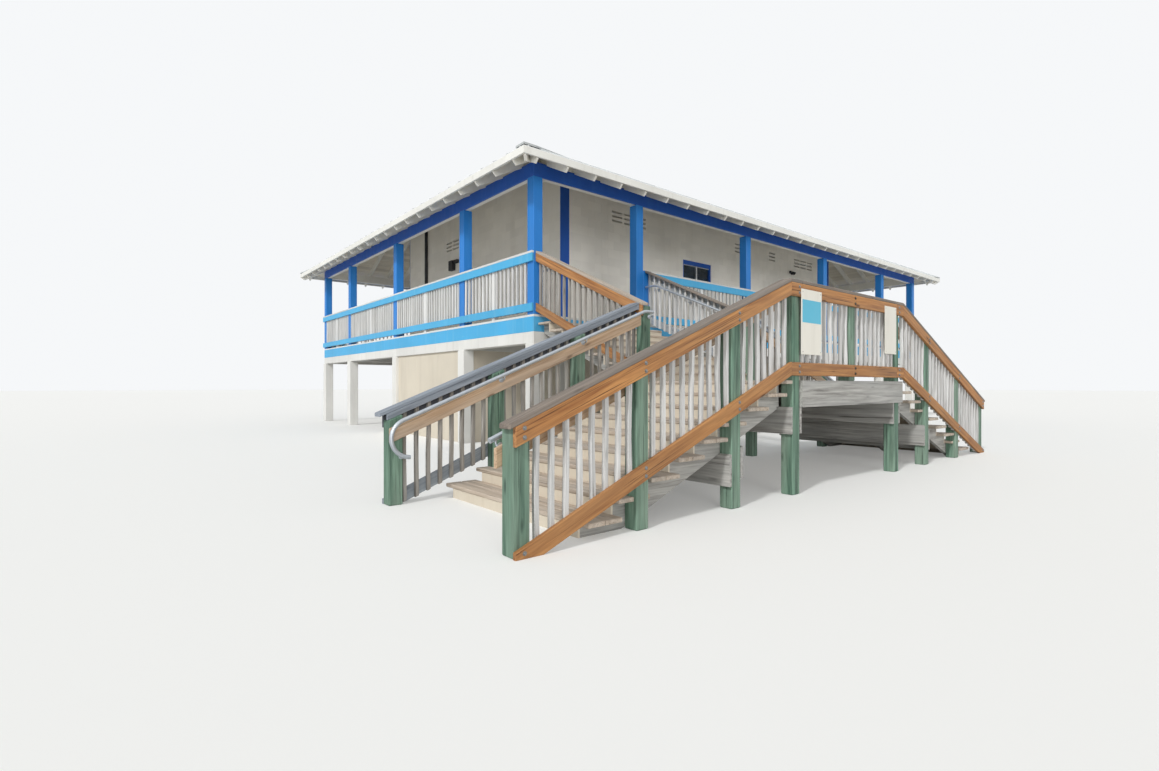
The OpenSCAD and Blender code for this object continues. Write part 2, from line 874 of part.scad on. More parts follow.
module landing_rail() {
    mid = (landing_len - post_w) / 2;
    color("peru") at_origin() at_front_rail() {
        rail_boards(0, landing_len, landing_h, landing_h);
        balusters(post_in + post_w, mid, landing_h, landing_h);
        balusters(mid + post_w, landing_len - post_in - post_w, landing_h, landing_h);
    }
}

// The back rails have one more board, which lies over the posts inside the balusters
module back_stair_rails() {
    level = post_in - rail_t;
    z = rail_h - rail_t - cap_board;
    color("peru") at_origin() both_ends(landing_len) at_back_rail() {
        low_rail(level, 1);
        slope_board(foot_x, 0, low_z(foot_x) + z, low_z(0) + z, cap_board + eps,
            rail_t + baluster_w, rail_t, level);
    }
}

module upper_stair_rails() {
    y0 = landing_y1 - post_w;
    lean = (deck_h - landing_h) / -y0;
    color("peru") at_origin() both_ends(landing_len)
        translate([post_in - rail_t, 0, 0]) mirror([1, 0, 0]) rotate(90) {
            rail_boards(y0, 0, landing_h, deck_h);
            balusters(landing_y1, 0, landing_h + post_w * lean, deck_h);
        }
}

// Round bar between two points
module rod(a, b, d) {
    v = b - a;
    translate(a) rotate([0, acos(v[2] / norm(v)), atan2(v[1], v[0])])
        cylinder(h = norm(v), d = d, $fn = 24);
}

// Round fitting where two bars of diameter d meet
module fitting(at, d) {
    translate(at) sphere(d = d + 4, $fn = 24);
}

// Tube on brackets inside the left flight, which turns back to the foot post in a half circle
module handrail(row) {
    y_board = 2 * rail_t + post_w;
    y = y_board + tube_off;
    lean = atan(low_pitch);
    top_z = landing_h + tube_h;
    x0 = tube_start;
    z0 = low_z(x0) + tube_h;
    x1 = post_in + post_w / 2;
    cx = x0 + tube_r * sin(lean);
    cz = z0 - tube_r * cos(lean);
    post_end = foot_x + post_w - bracket_d;
    rod([x0, y, z0], [0, y, top_z], tube_d);
    rod([0, y, top_z], [x1, y, top_z], tube_d);
    translate([cx, y, cz]) rotate([90, 0, 0]) rotate([0, 0, 90 + lean])
        rotate_extrude(angle = 180 - lean, $fn = 48) translate([tube_r, 0]) circle(d = tube_d, $fn = 24);
    fitting([0, y, top_z], tube_d);
    fitting([x0, y, z0], tube_d);
    fitting([cx, y, cz - tube_r], tube_d);
    rod([post_end, y_board - rail_t, cz - tube_r], [post_end, y, cz - tube_r], bracket_d);
    for (i = [0 : low_posts - 2]) {
        x = post_x(i, row) + post_w / 2;
        z = low_z(x) + inner_z + rail_w - bracket_d;
        rod([x, y_board, z], [x, y, z], bracket_d);
        rod([x, y, z], [x, y, low_z(x) + tube_h], bracket_d);
        fitting([x, y, z], bracket_d);
    }
}

// Height of the handrail tube of the upper flight at y
function high_tube_z(y) =
    landing_h + high_rise + (y - landing_y1 + nosing) * high_rise / high_run + high_tube_h;

// Tube inside the upper flight, which ends with a level length, on brackets from its balusters
module upper_handrail() {
    face = post_in + baluster_w;
    x = face + tube_off;
    y0 = landing_y1 + high_tube_in;
    y1 = -high_tube_level;
    count = round(high_len / baluster_gap);
    rod([x, y0, high_tube_z(y0)], [x, y1, high_tube_z(y1)], tube_d);
    rod([x, y1, high_tube_z(y1)], [x, -tube_d, high_tube_z(y1)], tube_d);
    fitting([x, y1, high_tube_z(y1)], tube_d);
    for (i = [1, round(count / 2), count - 3]) {
        y = landing_y1 + (i + 0.5) * high_len / count;
        z = high_tube_z(y) - bracket_drop;
        rod([face, y, z], [x, y, z], bracket_d);
        rod([x, y, z], [x, y, high_tube_z(y)], bracket_d);
        fitting([x, y, z], bracket_d);
    }
}

module handrails() {
    color("silver") at_origin() both_ends(landing_len) {
        at_front_rail() handrail(0);
        at_back_rail() handrail(1);
        upper_handrail();
    }
}

module notice_boards() {
    y = landing_y0 - rail_t - sign_t;
    z = landing_h + rail_h - sign_drop;
    color("whitesmoke") at_origin() {
        block([sign_x, y, z - sign_h], [sign_x + sign_w, y + sign_t, z]);
        block([small_sign_x, y, z - small_sign_h], [small_sign_x + small_sign_w, y + sign_t, z]);
    }
}

// Box on the wall with two round lamps under it
module wall_lamp() {
    w = lamp_w;
    color("dimgray") at_origin() translate([lamp_x, walk_w, deck_h + lamp_z]) {
        block([-w / 2, -w / 2, 0], [w / 2, 0, w / 2]);
        for (s = [-1, 1])
            translate([s * w / 3, -w / 3, -w / 2]) cylinder(h = w / 2, d = w / 2, $fn = 32);
    }
}

// Pipe up the left wall, and a lamp with a side arm under the vent
module wall_pipe() {
    w = side_lamp_w;
    color("dimgray") at_origin() {
        translate([side_walk_w - pipe_d / 2, pipe_y, deck_h])
            cylinder(h = side_wall_top - deck_h - 2 * seat, d = pipe_d, $fn = 32);
        translate([side_walk_w, side_vent_y, deck_h + vent_z - side_lamp_drop]) {
            block([-w / 2, w, 0], [0, 2 * w, side_lamp_h]);
            block([-w / 3, 0, 2 * side_lamp_h / 3], [0, w, side_lamp_h]);
        }
    }
}

ground_posts();
long_girders();
side_girders();
store_wall();
deck_joists();
deck_band();
deck_floor();
deck_columns();
eave_beam();
front_wall();
back_wall();
left_wall();
right_wall();
corner_trim();
vent_blocks();
window_frame();
window_glass();
door_frames();
rafters();
hip_rafters();
ridge_beam();
roof_boards();
roof_sheet();
roof_caps();
eave_trim();
front_railing();
back_railing();
left_railing();
right_railing();
stair_posts();
post_ties();
landing_frame();
landing_floor();
side_stringers();
side_treads();
upper_stringers();
upper_treads();
stair_risers();
front_left_rail();
landing_rail();
front_right_rail();
back_stair_rails();
upper_stair_rails();
handrails();
notice_boards();
wall_lamp();
wall_pipe();
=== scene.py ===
# Looks of a raised beach pavilion: painted timber frame, block room, hip roof of metal sheet
# and a weathered T-shaped stair. Metres, +Z up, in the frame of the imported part.
import math
import bpy
import numpy as np
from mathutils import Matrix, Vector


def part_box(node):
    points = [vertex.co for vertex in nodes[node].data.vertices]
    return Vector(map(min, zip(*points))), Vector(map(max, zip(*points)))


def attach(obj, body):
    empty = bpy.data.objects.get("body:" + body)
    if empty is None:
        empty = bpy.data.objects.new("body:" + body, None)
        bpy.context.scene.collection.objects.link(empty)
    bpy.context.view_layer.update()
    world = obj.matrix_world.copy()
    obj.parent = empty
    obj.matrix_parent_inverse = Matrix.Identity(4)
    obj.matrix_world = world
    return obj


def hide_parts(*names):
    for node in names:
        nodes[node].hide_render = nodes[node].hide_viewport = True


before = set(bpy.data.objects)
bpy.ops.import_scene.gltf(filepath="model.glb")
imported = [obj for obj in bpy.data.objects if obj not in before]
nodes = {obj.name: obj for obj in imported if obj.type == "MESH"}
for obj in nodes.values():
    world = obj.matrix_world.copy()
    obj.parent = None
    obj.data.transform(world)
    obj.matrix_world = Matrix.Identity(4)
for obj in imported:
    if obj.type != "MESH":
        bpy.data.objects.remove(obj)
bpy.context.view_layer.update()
print("frame loaded with", len(nodes), "nodes")

# Shapes below are worked out from the outer corner of the near left column, then moved here
deckLow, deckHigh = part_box("deck_floor")
corner = np.array([deckLow.x, deckLow.y, 0.0])
long = deckHigh.x - deckLow.x
deep = deckHigh.y - deckLow.y

building = {
    "columnX": [0, 2.438, 6.096, 9.754, 13.412, 15.850],
    "columnY": [0, 2.438, 5.918, 9.398, 11.836],
    "columnWidth": 0.190,
    "deckTop": 2.363,
    "beamBottom": 4.689,
    "beamTop": 4.930,
    "beamWidth": 0.140,
    "beamSkin": 0.045,
    "pierWidth": 0.240,
    "girderBottom": 1.876,
    "girderTop": 2.074,
    "bandThick": 0.038,
}

# Camera at the viewing angle of the photograph
view = {"place": (-5.487, -7.859, 1.162), "turn": -39.53, "lens": 17.705, "sensor": 36.0}
cameraData = bpy.data.cameras.new("viewCamera")
cameraData.sensor_width = view["sensor"]
cameraData.lens = view["lens"]
cameraData.clip_end = 600
camera = bpy.data.objects.new("viewCamera", cameraData)
bpy.context.scene.collection.objects.link(camera)
camera.location = corner + np.array(view["place"])
camera.rotation_euler = (math.radians(90), 0, math.radians(view["turn"]))
bpy.context.scene.camera = camera


# Helpers that add and link the nodes of one tree
class Nodes:
    def __init__(self, tree):
        self.tree = tree

    def put(self, socket, value):
        if isinstance(value, bpy.types.NodeSocket):
            self.tree.links.new(value, socket)
        else:
            socket.default_value = value

    def add(self, kind, inputs, **settings):
        made = self.tree.nodes.new("ShaderNode" + kind)
        for key, value in settings.items():
            setattr(made, key, value)
        for key, value in inputs.items():
            self.put(made.inputs[key], value)
        return made

    def place(self, source):
        if source == "object":
            return self.add("TexCoord", {}).outputs["Object"]
        return self.add("Attribute", {}, attribute_name=source).outputs["Vector"]

    def stretched(self, vector, scale, turn=(0, 0, 0)):
        return self.add("Mapping", {"Vector": vector, "Scale": scale, "Rotation": turn}).outputs[0]

    # Noise with one scale, or stretched by a scale along each axis
    def noise(self, vector, scale, detail, rough=0.55, bend=0.0):
        if isinstance(scale, tuple):
            vector, scale = self.stretched(vector, scale), 1.0
        return self.add("TexNoise", {"Vector": vector, "Scale": scale, "Detail": detail,
                                     "Roughness": rough, "Distortion": bend}).outputs["Fac"]

    def ramp(self, value, low, high, start=0.0, end=1.0):
        return self.add("MapRange", {"Value": value, "From Min": low, "From Max": high,
                                     "To Min": start, "To Max": end}).outputs["Result"]

    def mix(self, factor, first, second):
        return self.add("Mix", {0: factor, 6: first, 7: second}, data_type="RGBA").outputs[2]

    def maths(self, kind, first, second):
        return self.add("Math", {0: first, 1: second}, operation=kind).outputs[0]


# A finish is a material whose main shader is kept at hand
class Finish(Nodes):
    def __init__(self, name, roughness, metallic=0.0):
        self.material = bpy.data.materials.new(name)
        self.material.use_nodes = True
        super().__init__(self.material.node_tree)
        self.shader = self.tree.nodes["Principled BSDF"]
        self.shader.inputs["Roughness"].default_value = roughness
        self.shader.inputs["Metallic"].default_value = metallic

    def dress(self, colour, roughness):
        self.put(self.shader.inputs["Base Color"], colour)
        self.put(self.shader.inputs["Roughness"], roughness)

    def toned(self, colour, amount):
        tone = self.add("Attribute", {}, attribute_name="tone").outputs["Fac"]
        value = self.maths("MULTIPLY_ADD", tone, amount)
        value.node.inputs[2].default_value = 1.0
        return self.add("HueSaturation", {"Color": colour, "Value": value}).outputs[0]

    def bump(self, height, strength, distance):
        made = self.add("Bump", {"Height": height, "Strength": strength, "Distance": distance})
        self.put(self.shader.inputs["Normal"], made.outputs[0])


# Colour from 0 to 255 values, taken to linear light and then to a share of it
def rgb(colour, share=1.0):
    c = np.array(colour) / 255.0
    c = share * np.where(c <= 0.04045, c / 12.92, ((c + 0.055) / 1.055) ** 2.4)
    return (*c.tolist(), 1.0)


# Sawn timber. Grain streaks are noise drawn out along the board, with broad patches of
# weathering, knots from cells and thin dark checks.
def timber(name, light, dark, grey, weather, knots, checks, roughness=0.75, relief=0.4,
           source="grain", turn=(0, 0, 0)):
    fine = 26.0
    f = Finish(name, roughness)
    base = f.place(source)
    if source == "object":
        base = f.stretched(base, (1, 1, 1), turn)
    streak = f.noise(base, (1.3, fine, fine), 6.0, 0.62, 0.4)
    colour = f.mix(f.ramp(streak, 0.32, 0.68), rgb(dark), rgb(light))
    patch = f.noise(base, (0.55, 5.0, 5.0), 3.0, 0.5)
    colour = f.mix(f.ramp(patch, 0.38, 0.66, 0.0, weather), colour, rgb(grey))
    cell = f.add("TexVoronoi", {"Vector": f.stretched(base, (2.1, 7.5, 7.5)), "Scale": 1.0,
                                "Randomness": 1.0})
    knot = f.ramp(cell.outputs["Distance"], 0.06, 0.15, knots, 0.0)
    colour = f.mix(knot, colour, rgb(dark, 0.35))
    thin = f.noise(base, (0.9, 3 * fine, 3 * fine), 2.0, 0.5, 0.2)
    check = f.ramp(thin, 0.63, 0.70, 0.0, checks)
    colour = f.mix(check, colour, rgb(dark, 0.22))
    f.dress(f.toned(colour, 0.10), f.ramp(streak, 0.2, 0.8, roughness - 0.1, roughness + 0.1))
    height = f.maths("SUBTRACT", streak, f.maths("MULTIPLY", check, 0.8))
    f.bump(height, relief, 0.003)
    return f.material


# Brushed paint: slow change of shade, rain streaks down the faces, small worn spots
def paint(name, colour, worn, streaks, spots, roughness=0.5, source="object"):
    f = Finish(name, roughness)
    worn = rgb(worn)
    base = f.place("object")
    slow = f.noise(base, 0.9, 3.0)
    shade = f.mix(f.ramp(slow, 0.3, 0.7), rgb(colour, 0.88), rgb(colour))
    rain = f.noise(base, (7.0, 7.0, 0.6), 5.0, 0.6)
    shade = f.mix(f.ramp(rain, 0.52, 0.78, 0.0, streaks), shade, worn)
    spot = f.noise(base, 17.0, 8.0, 0.62)
    chip = f.ramp(spot, 0.66, 0.70, 0.0, spots)
    shade = f.mix(chip, shade, worn)
    f.dress(f.toned(shade, 0.05), f.ramp(rain, 0.3, 0.7, roughness - 0.08, roughness + 0.12))
    if source == "object":
        brush = f.noise(base, (60.0, 60.0, 6.0), 3.0)
    else:
        brush = f.noise(f.place(source), (5.0, 90.0, 90.0), 3.0)
    f.bump(f.maths("SUBTRACT", brush, chip), 0.15, 0.0015)
    return f.material


# Painted block: fine pits, slow stains and faint runs down the wall
def blockwork(name, colour, stain):
    f = Finish(name, 0.85)
    base = f.place("object")
    slow = f.noise(base, 0.7, 4.0, 0.6)
    shade = f.mix(f.ramp(slow, 0.3, 0.7), rgb(colour, 0.90), rgb(colour))
    rain = f.noise(base, (3.5, 3.5, 0.35), 5.0, 0.6)
    shade = f.mix(f.ramp(rain, 0.5, 0.8, 0.0, 0.3), shade, rgb(stain))
    f.dress(f.toned(shade, 0.035), f.ramp(slow, 0.3, 0.7, 0.78, 0.92))
    pits = f.noise(base, 130.0, 3.0, 0.6)
    f.bump(pits, 0.25, 0.002)
    return f.material


# Metal: cells of slightly different shade, water marks drawn down, soft gloss
def metal(name, colour, mark, roughness, metallic, cells, marks):
    f = Finish(name, roughness, metallic)
    mark = rgb(mark)
    base = f.place("object")
    cell = f.add("TexVoronoi", {"Vector": base, "Scale": cells})
    grey = f.add("SeparateColor", {"Color": cell.outputs["Color"]}).outputs[0]
    shade = f.mix(f.ramp(grey, 0, 1, 0.0, 0.25), rgb(colour), mark)
    water = f.noise(base, (4, 4, 0.5), 5.0, 0.6)
    shade = f.mix(f.ramp(water, 0.5, 0.75, 0.0, marks), shade, mark)
    f.dress(shade, f.ramp(water, 0.3, 0.7, roughness - 0.07, roughness + 0.12))
    f.bump(f.noise(base, 45.0, 3.0), 0.06, 0.001)
    return f.material


# Glass: dark, with pale bluish patches of painted reflection
def pane(name, dark, pale):
    f = Finish(name, 0.05)
    base = f.place("object")
    reflectionPatches = f.noise(base, (2, 2, 3), 5.0, 0.6)
    f.dress(f.mix(f.ramp(reflectionPatches, 0.3, 0.7), rgb(dark), rgb(pale)), f.ramp(reflectionPatches, 0.4, 0.7, 0.04, 0.16))
    f.shader.inputs["Transmission Weight"].default_value = 0.25
    return f.material


# The columns' blue paint, and the same paint darkened as painted shade for parts that stand in the
# shade under the roof
azure, shadedBlue, quarter = (30, 126, 208), (20, 88, 184), (0, 0, math.radians(90))

# Paint on one body or along boards: colour and worn colour, then shares of streaks and spots
paints = {
    "object": {
        # Window frame, corner trim and door frames: the blue with painted shade
        "blue": (shadedBlue, (70, 126, 190), 0.25, 0.15),
        "white": ((230, 229, 224), (184, 178, 166), 0.25, 0.2),
        "fascia": ((238, 237, 230), (188, 184, 174), 0.3, 0.15),
        "rafter": ((243, 241, 233), (192, 183, 164), 0.2, 0.2),
        "riser": ((224, 213, 194), (178, 161, 136), 0.3, 0.3),
        "sign": ((232, 228, 216), (186, 180, 168), 0.25, 0.1, 0.4),
        "signField": ((88, 184, 212), (150, 200, 216), 0.2, 0.15, 0.4),
        "dark": ((44, 46, 50), (96, 92, 86), 0.3, 0.2, 0.45),
    },
    "grain": {
        # Eave beam: the blue with painted shade from the roof overhang
        "beamBlue": (shadedBlue, (70, 126, 190), 0.25, 0.15),
        "blueBoards": (azure, (90, 162, 216), 0.25, 0.15),
        # Rail boards and deck band: the blue lightened to its sunlit look, painted sunlight
        "railBlue": ((74, 176, 224), (158, 204, 224), 0.3, 0.3),
        "bandBlue": ((70, 172, 222), (150, 200, 222), 0.3, 0.3),
        "whiteBoards": ((230, 230, 228), (186, 182, 174), 0.25, 0.25),
    },
}

# Timber: light, dark and grey shade, then shares of weathering, knots and checks
timbers = {
    "caps": ((230, 230, 228), (202, 200, 196), (192, 190, 186), 0.4, 0.1, 0.4),
    "railWhite": ((232, 232, 230), (198, 197, 194), (204, 204, 202), 0.4, 0.1, 0.4),
    "soffit": ((242, 236, 222), (222, 213, 195), (206, 198, 182), 0.25, 0.1, 0.2),
    "deck": ((186, 180, 168), (138, 130, 116), (160, 158, 152), 0.6, 0.4, 0.7),
    "cedar": ((200, 144, 86), (130, 78, 36), (150, 116, 84), 0.4, 0.9, 0.9, 0.62),
    "tan": ((212, 184, 154), (158, 124, 92), (178, 166, 152), 0.6, 0.7, 0.6),
    "greyBoards": ((166, 174, 180), (112, 118, 124), (142, 150, 158), 0.6, 0.4, 0.7),
    # Upper outer board of the back rails: dark grey as painted shade
    "slate": ((96, 100, 108), (54, 57, 64), (82, 84, 88), 0.5, 0.3, 0.6),
    "grey": ((160, 168, 178), (112, 118, 126), (138, 146, 156), 0.6, 0.3, 0.6),
    "brownGrey": ((150, 138, 126), (96, 86, 78), (126, 120, 114), 0.6, 0.3, 0.6),
    "paleGrey": ((232, 232, 230), (174, 172, 168), (202, 202, 200), 0.5, 0.3, 0.7),
    "darkGrey": ((184, 180, 174), (124, 117, 108), (156, 153, 148), 0.6, 0.4, 0.8),
    "green": ((122, 154, 134), (44, 78, 62), (158, 172, 156), 0.45, 0.6, 1.0, 0.75, 0.9),
    "tread": ((210, 196, 180), (160, 143, 124), (176, 169, 160), 0.5, 0.4, 0.6),
}
frameTimber = ((198, 196, 190), (122, 119, 114), (160, 160, 157), 0.6, 0.3, 0.7)
joistTimber = ((196, 180, 152), (148, 130, 102), (150, 144, 132), 0.5, 0.4, 0.5)

# Metal: colour and mark, roughness, metallic share, cells to the metre and share of marks
metals = {
    "roof": ((196, 200, 200), (150, 152, 150), 0.56, 0.15, 3.0, 0.35),
    # Lip: the roof metal made almost white, a painted highlight where the eave's edge catches the
    # sky
    "lip": ((236, 237, 237), (200, 202, 202), 0.5, 0.0, 3.0, 0.3),
    "zinc": ((196, 202, 208), (146, 152, 158), 0.38, 0.7, 70.0, 0.3),
    "bolt": ((150, 152, 152), (96, 84, 70), 0.5, 0.8, 90.0, 0.5),
    "alloy": ((214, 216, 216), (160, 164, 166), 0.35, 0.7, 40.0, 0.3),
}

finishes = {
    **{key: paint(key + "Paint", *values, source=source)
       for source, table in paints.items() for key, values in table.items()},
    **{key: timber(key + "Timber", *values) for key, values in timbers.items()},
    **{key: metal(key + "Metal", *values) for key, values in metals.items()},
    "joist": timber("joistTimber", *joistTimber, source="object", turn=quarter),
    "frameX": timber("frameXTimber", *frameTimber, source="object"),
    "frameY": timber("frameYTimber", *frameTimber, source="object", turn=quarter),
    "block": blockwork("blockPaint", (250, 246, 237), (222, 216, 203)),
    "store": blockwork("storePaint", (214, 205, 188), (170, 160, 142)),
    # Window glass: dark with patches of painted reflection
    "glass": pane("windowPane", (28, 36, 44), (62, 80, 96)),
}
print("finishes made:", len(finishes))


# Shapes are whole arrays of points. This one joins x, y and z, each a number or an array.
def xyz(x, y, z):
    return np.stack(np.broadcast_arrays(*[np.asarray(a, float) for a in (x, y, z)]), -1)


# A part has points, faces, a tone for each of its bodies and the coordinates of its grain
def partOf(points, tone, faces, grain=None):
    points = points.reshape(-1, 3)
    return {"points": points, "grain": points if grain is None else grain.reshape(-1, 3),
            "tone": np.repeat(tone, len(points) // len(tone)), "faces": faces}


# Faces of bodies made of rings of points: bands of quads from ring to ring, then the two ends
def ringFaces(count, rings, sides, turn=False):
    start = np.arange(count)[:, None, None] * rings * sides
    ring = start + np.arange(rings - 1)[None, :, None] * sides
    k = np.arange(sides)
    a, b = ring + k, ring + (k + 1) % sides
    low = start[:, 0] + k[::-1]
    high = start[:, 0] + (rings - 1) * sides + k
    faces = [np.stack([a, b, b + sides, a + sides], -1).reshape(-1, 4), low, high]
    return [f[:, ::-1] for f in faces] if turn else faces


# A chamfered rectangle (u, v) is carried along a straight line: a point is
# start + t * along + u * side + v * up. The end rings are drawn in by the ease, a bent bar
# moves sideways by a slow sine of t, and a skewed end moves along by skew times the
# distance across.
def bars(start, along, side, up, ease=0.004, inner=0, bend=0.0, skewStart=0.0, skewEnd=0.0,
         seed=1):
    start, along, side, up = np.broadcast_arrays(*[np.array(a, float).reshape(-1, 3)
                                                   for a in (start, along, side, up)])
    count = len(start)
    hand = np.sign((np.cross(side, up) * along).sum(1))
    side = side * hand[:, None]
    length, wide, high = [np.linalg.norm(a, axis=1) for a in (along, side, up)]
    easeU, easeV = ease / wide, ease / high
    u = np.array([1, 1, 1, -1, -1, -1, -1, 1]) * (1 - easeU[:, None] * [0, 0, 1, 1, 0, 0, 1, 1])
    v = np.array([-1, 1, 1, 1, 1, -1, -1, -1]) * (1 - easeV[:, None] * [1, 1, 0, 0, 1, 1, 0, 0])
    easeT = ease / length
    middle = np.linspace(0, 1, inner + 2)[None, :] * (1 - 2 * easeT[:, None]) + easeT[:, None]
    t = np.hstack([np.zeros((count, 1)), middle, np.ones((count, 1))])
    rings = t.shape[1]
    drawn = np.zeros(rings)
    drawn[[0, -1]] = 1
    u = u[:, None, :] * (1 - easeU[:, None, None] * drawn[None, :, None])
    v = v[:, None, :] * (1 - easeV[:, None, None] * drawn[None, :, None])
    dice = np.random.default_rng(seed)
    offset = dice.uniform(0, 40, (count, 3))
    tone = dice.uniform(-1, 1, count)
    phase = dice.uniform(0, 1, (2, count, 1))
    pace = dice.uniform(0.35, 0.9, (2, count, 1))
    drift = bend * np.sin(math.pi * t) * np.sin(2 * math.pi * (pace * t + phase))
    skew = np.where(t < 0.5, (skewStart * hand)[:, None], (skewEnd * hand)[:, None])
    offAxis = u * wide[:, None, None]
    forward = (t * length[:, None])[:, :, None] + skew[:, :, None] * offAxis
    across = offAxis + drift[0][:, :, None]
    upward = v * high[:, None, None] + drift[1][:, :, None]
    units = [a / n[:, None] for a, n in ((along, length), (side, wide), (up, high))]
    points = start[:, None, None, :] + sum(
        d[..., None] * a[:, None, None, :] for d, a in zip((forward, across, upward), units))
    grain = np.stack([forward, across, upward], -1) + offset[:, None, None, :]
    return partOf(points, tone, ringFaces(count, rings, 8), grain)


# A board between x0 and x1 whose centre line goes from z0 to z1, cut plumb at both ends
def board(x0, x1, z0, z1, y0, y1, high, **more):
    return bars((x0, (y0 + y1) / 2, z0), (x1 - x0, 0, z1 - z0), (0, (y1 - y0) / 2, 0),
                (0, 0, high / 2), **more)


# A box between two corners, carried along its longest side
def beam(low, high, ease=0.006, **more):
    low, high = np.broadcast_arrays(*[np.array(a, float).reshape(-1, 3) for a in (low, high)])
    longest = int(np.argmax((high - low).mean(0)))
    axes = np.roll(np.eye(3), -longest, 0)
    along, side, up = [(high - low) * axis for axis in axes]
    start = (low + high - along) / 2
    return bars(start, along, side / 2, up / 2, ease=ease, **more)


# Many parts as one
def merged(parts):
    shifts = np.cumsum([0] + [len(p["points"]) for p in parts])
    made = {key: np.concatenate([p[key] for p in parts]) for key in ("points", "grain", "tone")}
    return dict(made, faces=[f + shift for p, shift in zip(parts, shifts) for f in p["faces"]])


# The same part after a linear map and a move; a map that mirrors turns its faces round
def mapped(part, rows, move=(0, 0, 0)):
    rows = np.array(rows, float)
    faces = part["faces"]
    if np.linalg.det(rows) < 0:
        faces = [f[:, ::-1] for f in faces]
    return dict(part, points=part["points"] @ rows.T + np.array(move, float), faces=faces)


# The ways in which a side's local x and y can lie in the building
straight, backward = ((1, 0, 0), (0, 1, 0), (0, 0, 1)), ((1, 0, 0), (0, -1, 0), (0, 0, 1))
swapped, sideways = ((0, 1, 0), (1, 0, 0), (0, 0, 1)), ((0, -1, 0), (1, 0, 0), (0, 0, 1))


# A profile (radius, distance) is turned about an axis: point = centre + distance * axis
# + radius * (cos a * first + sin a * second), for all centres at once
def turned(centres, axis, profile, sides):
    centres = np.array(centres, float).reshape(-1, 3)
    axis = np.array(axis, float) / np.linalg.norm(axis)
    first = np.cross(axis, (0.0, 0.0, 1.0) if abs(axis[2]) < 0.9 else (1.0, 0.0, 0.0))
    first /= np.linalg.norm(first)
    second = np.cross(axis, first)
    radius, distance = np.array(profile, float).T
    a = 2 * math.pi * np.arange(sides) / sides
    around = np.cos(a)[:, None] * first + np.sin(a)[:, None] * second
    shape = distance[:, None, None] * axis + radius[:, None, None] * around[None]
    points = centres[:, None, None, :] + shape[None]
    count, rings = len(centres), len(radius)
    tone = np.random.default_rng(3).uniform(-1, 1, count)
    return partOf(points, tone, ringFaces(count, rings, sides))


# A circle is carried along a path in a plane of constant y: point = path + r * (cos a * Y
# + sin a * (tangent x Y)), with the tangent from central differences
def tube(path, radius, sides=16):
    path = np.array(path, float)
    tangent = np.gradient(path, axis=0)
    tangent /= np.linalg.norm(tangent, axis=1)[:, None]
    across = np.broadcast_to((0.0, 1.0, 0.0), path.shape)
    normal = np.cross(tangent, across)
    a = 2 * math.pi * np.arange(sides) / sides
    points = path[:, None] + radius * (np.cos(a)[None, :, None] * across[:, None]
                                       + np.sin(a)[None, :, None] * normal[:, None])
    return partOf(points, [0.0], ringFaces(1, len(path), sides, turn=True))


# Puts the arrays of one part or a list of parts into a mesh with its finish, hangs it under the
# root body and hides the nodes it replaces
def piece(name, part, finish, slotName, replaced=(), smooth=False):
    if isinstance(part, list):
        part = merged(part)
    mesh = bpy.data.meshes.new(name)
    points = part["points"] + corner
    mesh.vertices.add(len(points))
    mesh.vertices.foreach_set("co", points.astype(np.float32).ravel())
    sizes = np.concatenate([np.full(len(f), f.shape[1]) for f in part["faces"]])
    corners = np.concatenate([f.ravel() for f in part["faces"]])
    mesh.loops.add(len(corners))
    mesh.loops.foreach_set("vertex_index", corners.astype(np.int32))
    mesh.polygons.add(len(sizes))
    starts = np.concatenate([[0], np.cumsum(sizes)[:-1]])
    mesh.polygons.foreach_set("loop_start", starts.astype(np.int32))
    mesh.update(calc_edges=True)
    mesh.validate()
    for key, kind, field in (("grain", "FLOAT_VECTOR", "vector"), ("tone", "FLOAT", "value")):
        layer = mesh.attributes.new(key, kind, "POINT")
        layer.data.foreach_set(field, part[key].astype(np.float32).ravel())
    if smooth:
        mesh.shade_smooth()
        mesh.set_sharp_from_angle(angle=math.radians(35))
    else:
        mesh.shade_flat()
    mesh.materials.append(finishes[finish])
    made = bpy.data.objects.new(name, mesh)
    bpy.context.scene.collection.objects.link(made)
    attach(made, "root")
    if replaced:
        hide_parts(*replaced)
    return made


# Frame of the building
columnX, columnY = np.array(building["columnX"]), np.array(building["columnY"])
width, deckTop, beamLow, beamHigh, girderLow, girderHigh = [building[key] for key in (
    "columnWidth", "deckTop", "beamBottom", "beamTop", "girderBottom", "girderTop")]

gridX, gridY = [g.ravel() for g in np.meshgrid(columnX, columnY)]
grow = (building["pierWidth"] - width) / 2
piers = beam(xyz(gridX - grow, gridY - grow, 0),
             xyz(gridX + width + grow, gridY + width + grow, girderLow), 0.01, seed=11)
piece("groundPosts", piers, "white", "white_paint", ["ground_posts"])

girders = [beam((0, y, girderLow), (long, y + width, girderHigh), seed=12 + i)
           for i, y in enumerate(columnY)]
girders += [beam((x, y0 + width, girderLow), (x + width, y1, girderHigh), seed=20 + i)
            for x in (0, columnX[-1]) for i, (y0, y1) in enumerate(zip(columnY, columnY[1:]))]
piece("girders", girders, "white", "white_paint", ["long_girders", "side_girders"])

rim = np.isin(gridX, columnX[[0, -1]]) | np.isin(gridY, columnY[[0, -1]])
rimX, rimY = gridX[rim], gridY[rim]
columns = beam(xyz(rimX, rimY, deckTop), xyz(rimX + width, rimY + width, beamLow), 0.008, seed=31)
piece("deckColumns", columns, "blueBoards", "blue_paint", ["deck_columns"])


# Four boards in a ring between two distances from the edge, the long ones from end to end
def ringBoards(a, b, low, high, seed, ease=0.006):
    plans = [(a, a, long - a, b), (a, deep - b, long - a, deep - a), (a, b, b, deep - b),
             (long - b, b, long - a, deep - b)]
    return [beam((x0, y0, low), (x1, y1, high), ease, seed=seed + i)
            for i, (x0, y0, x1, y1) in enumerate(plans)]
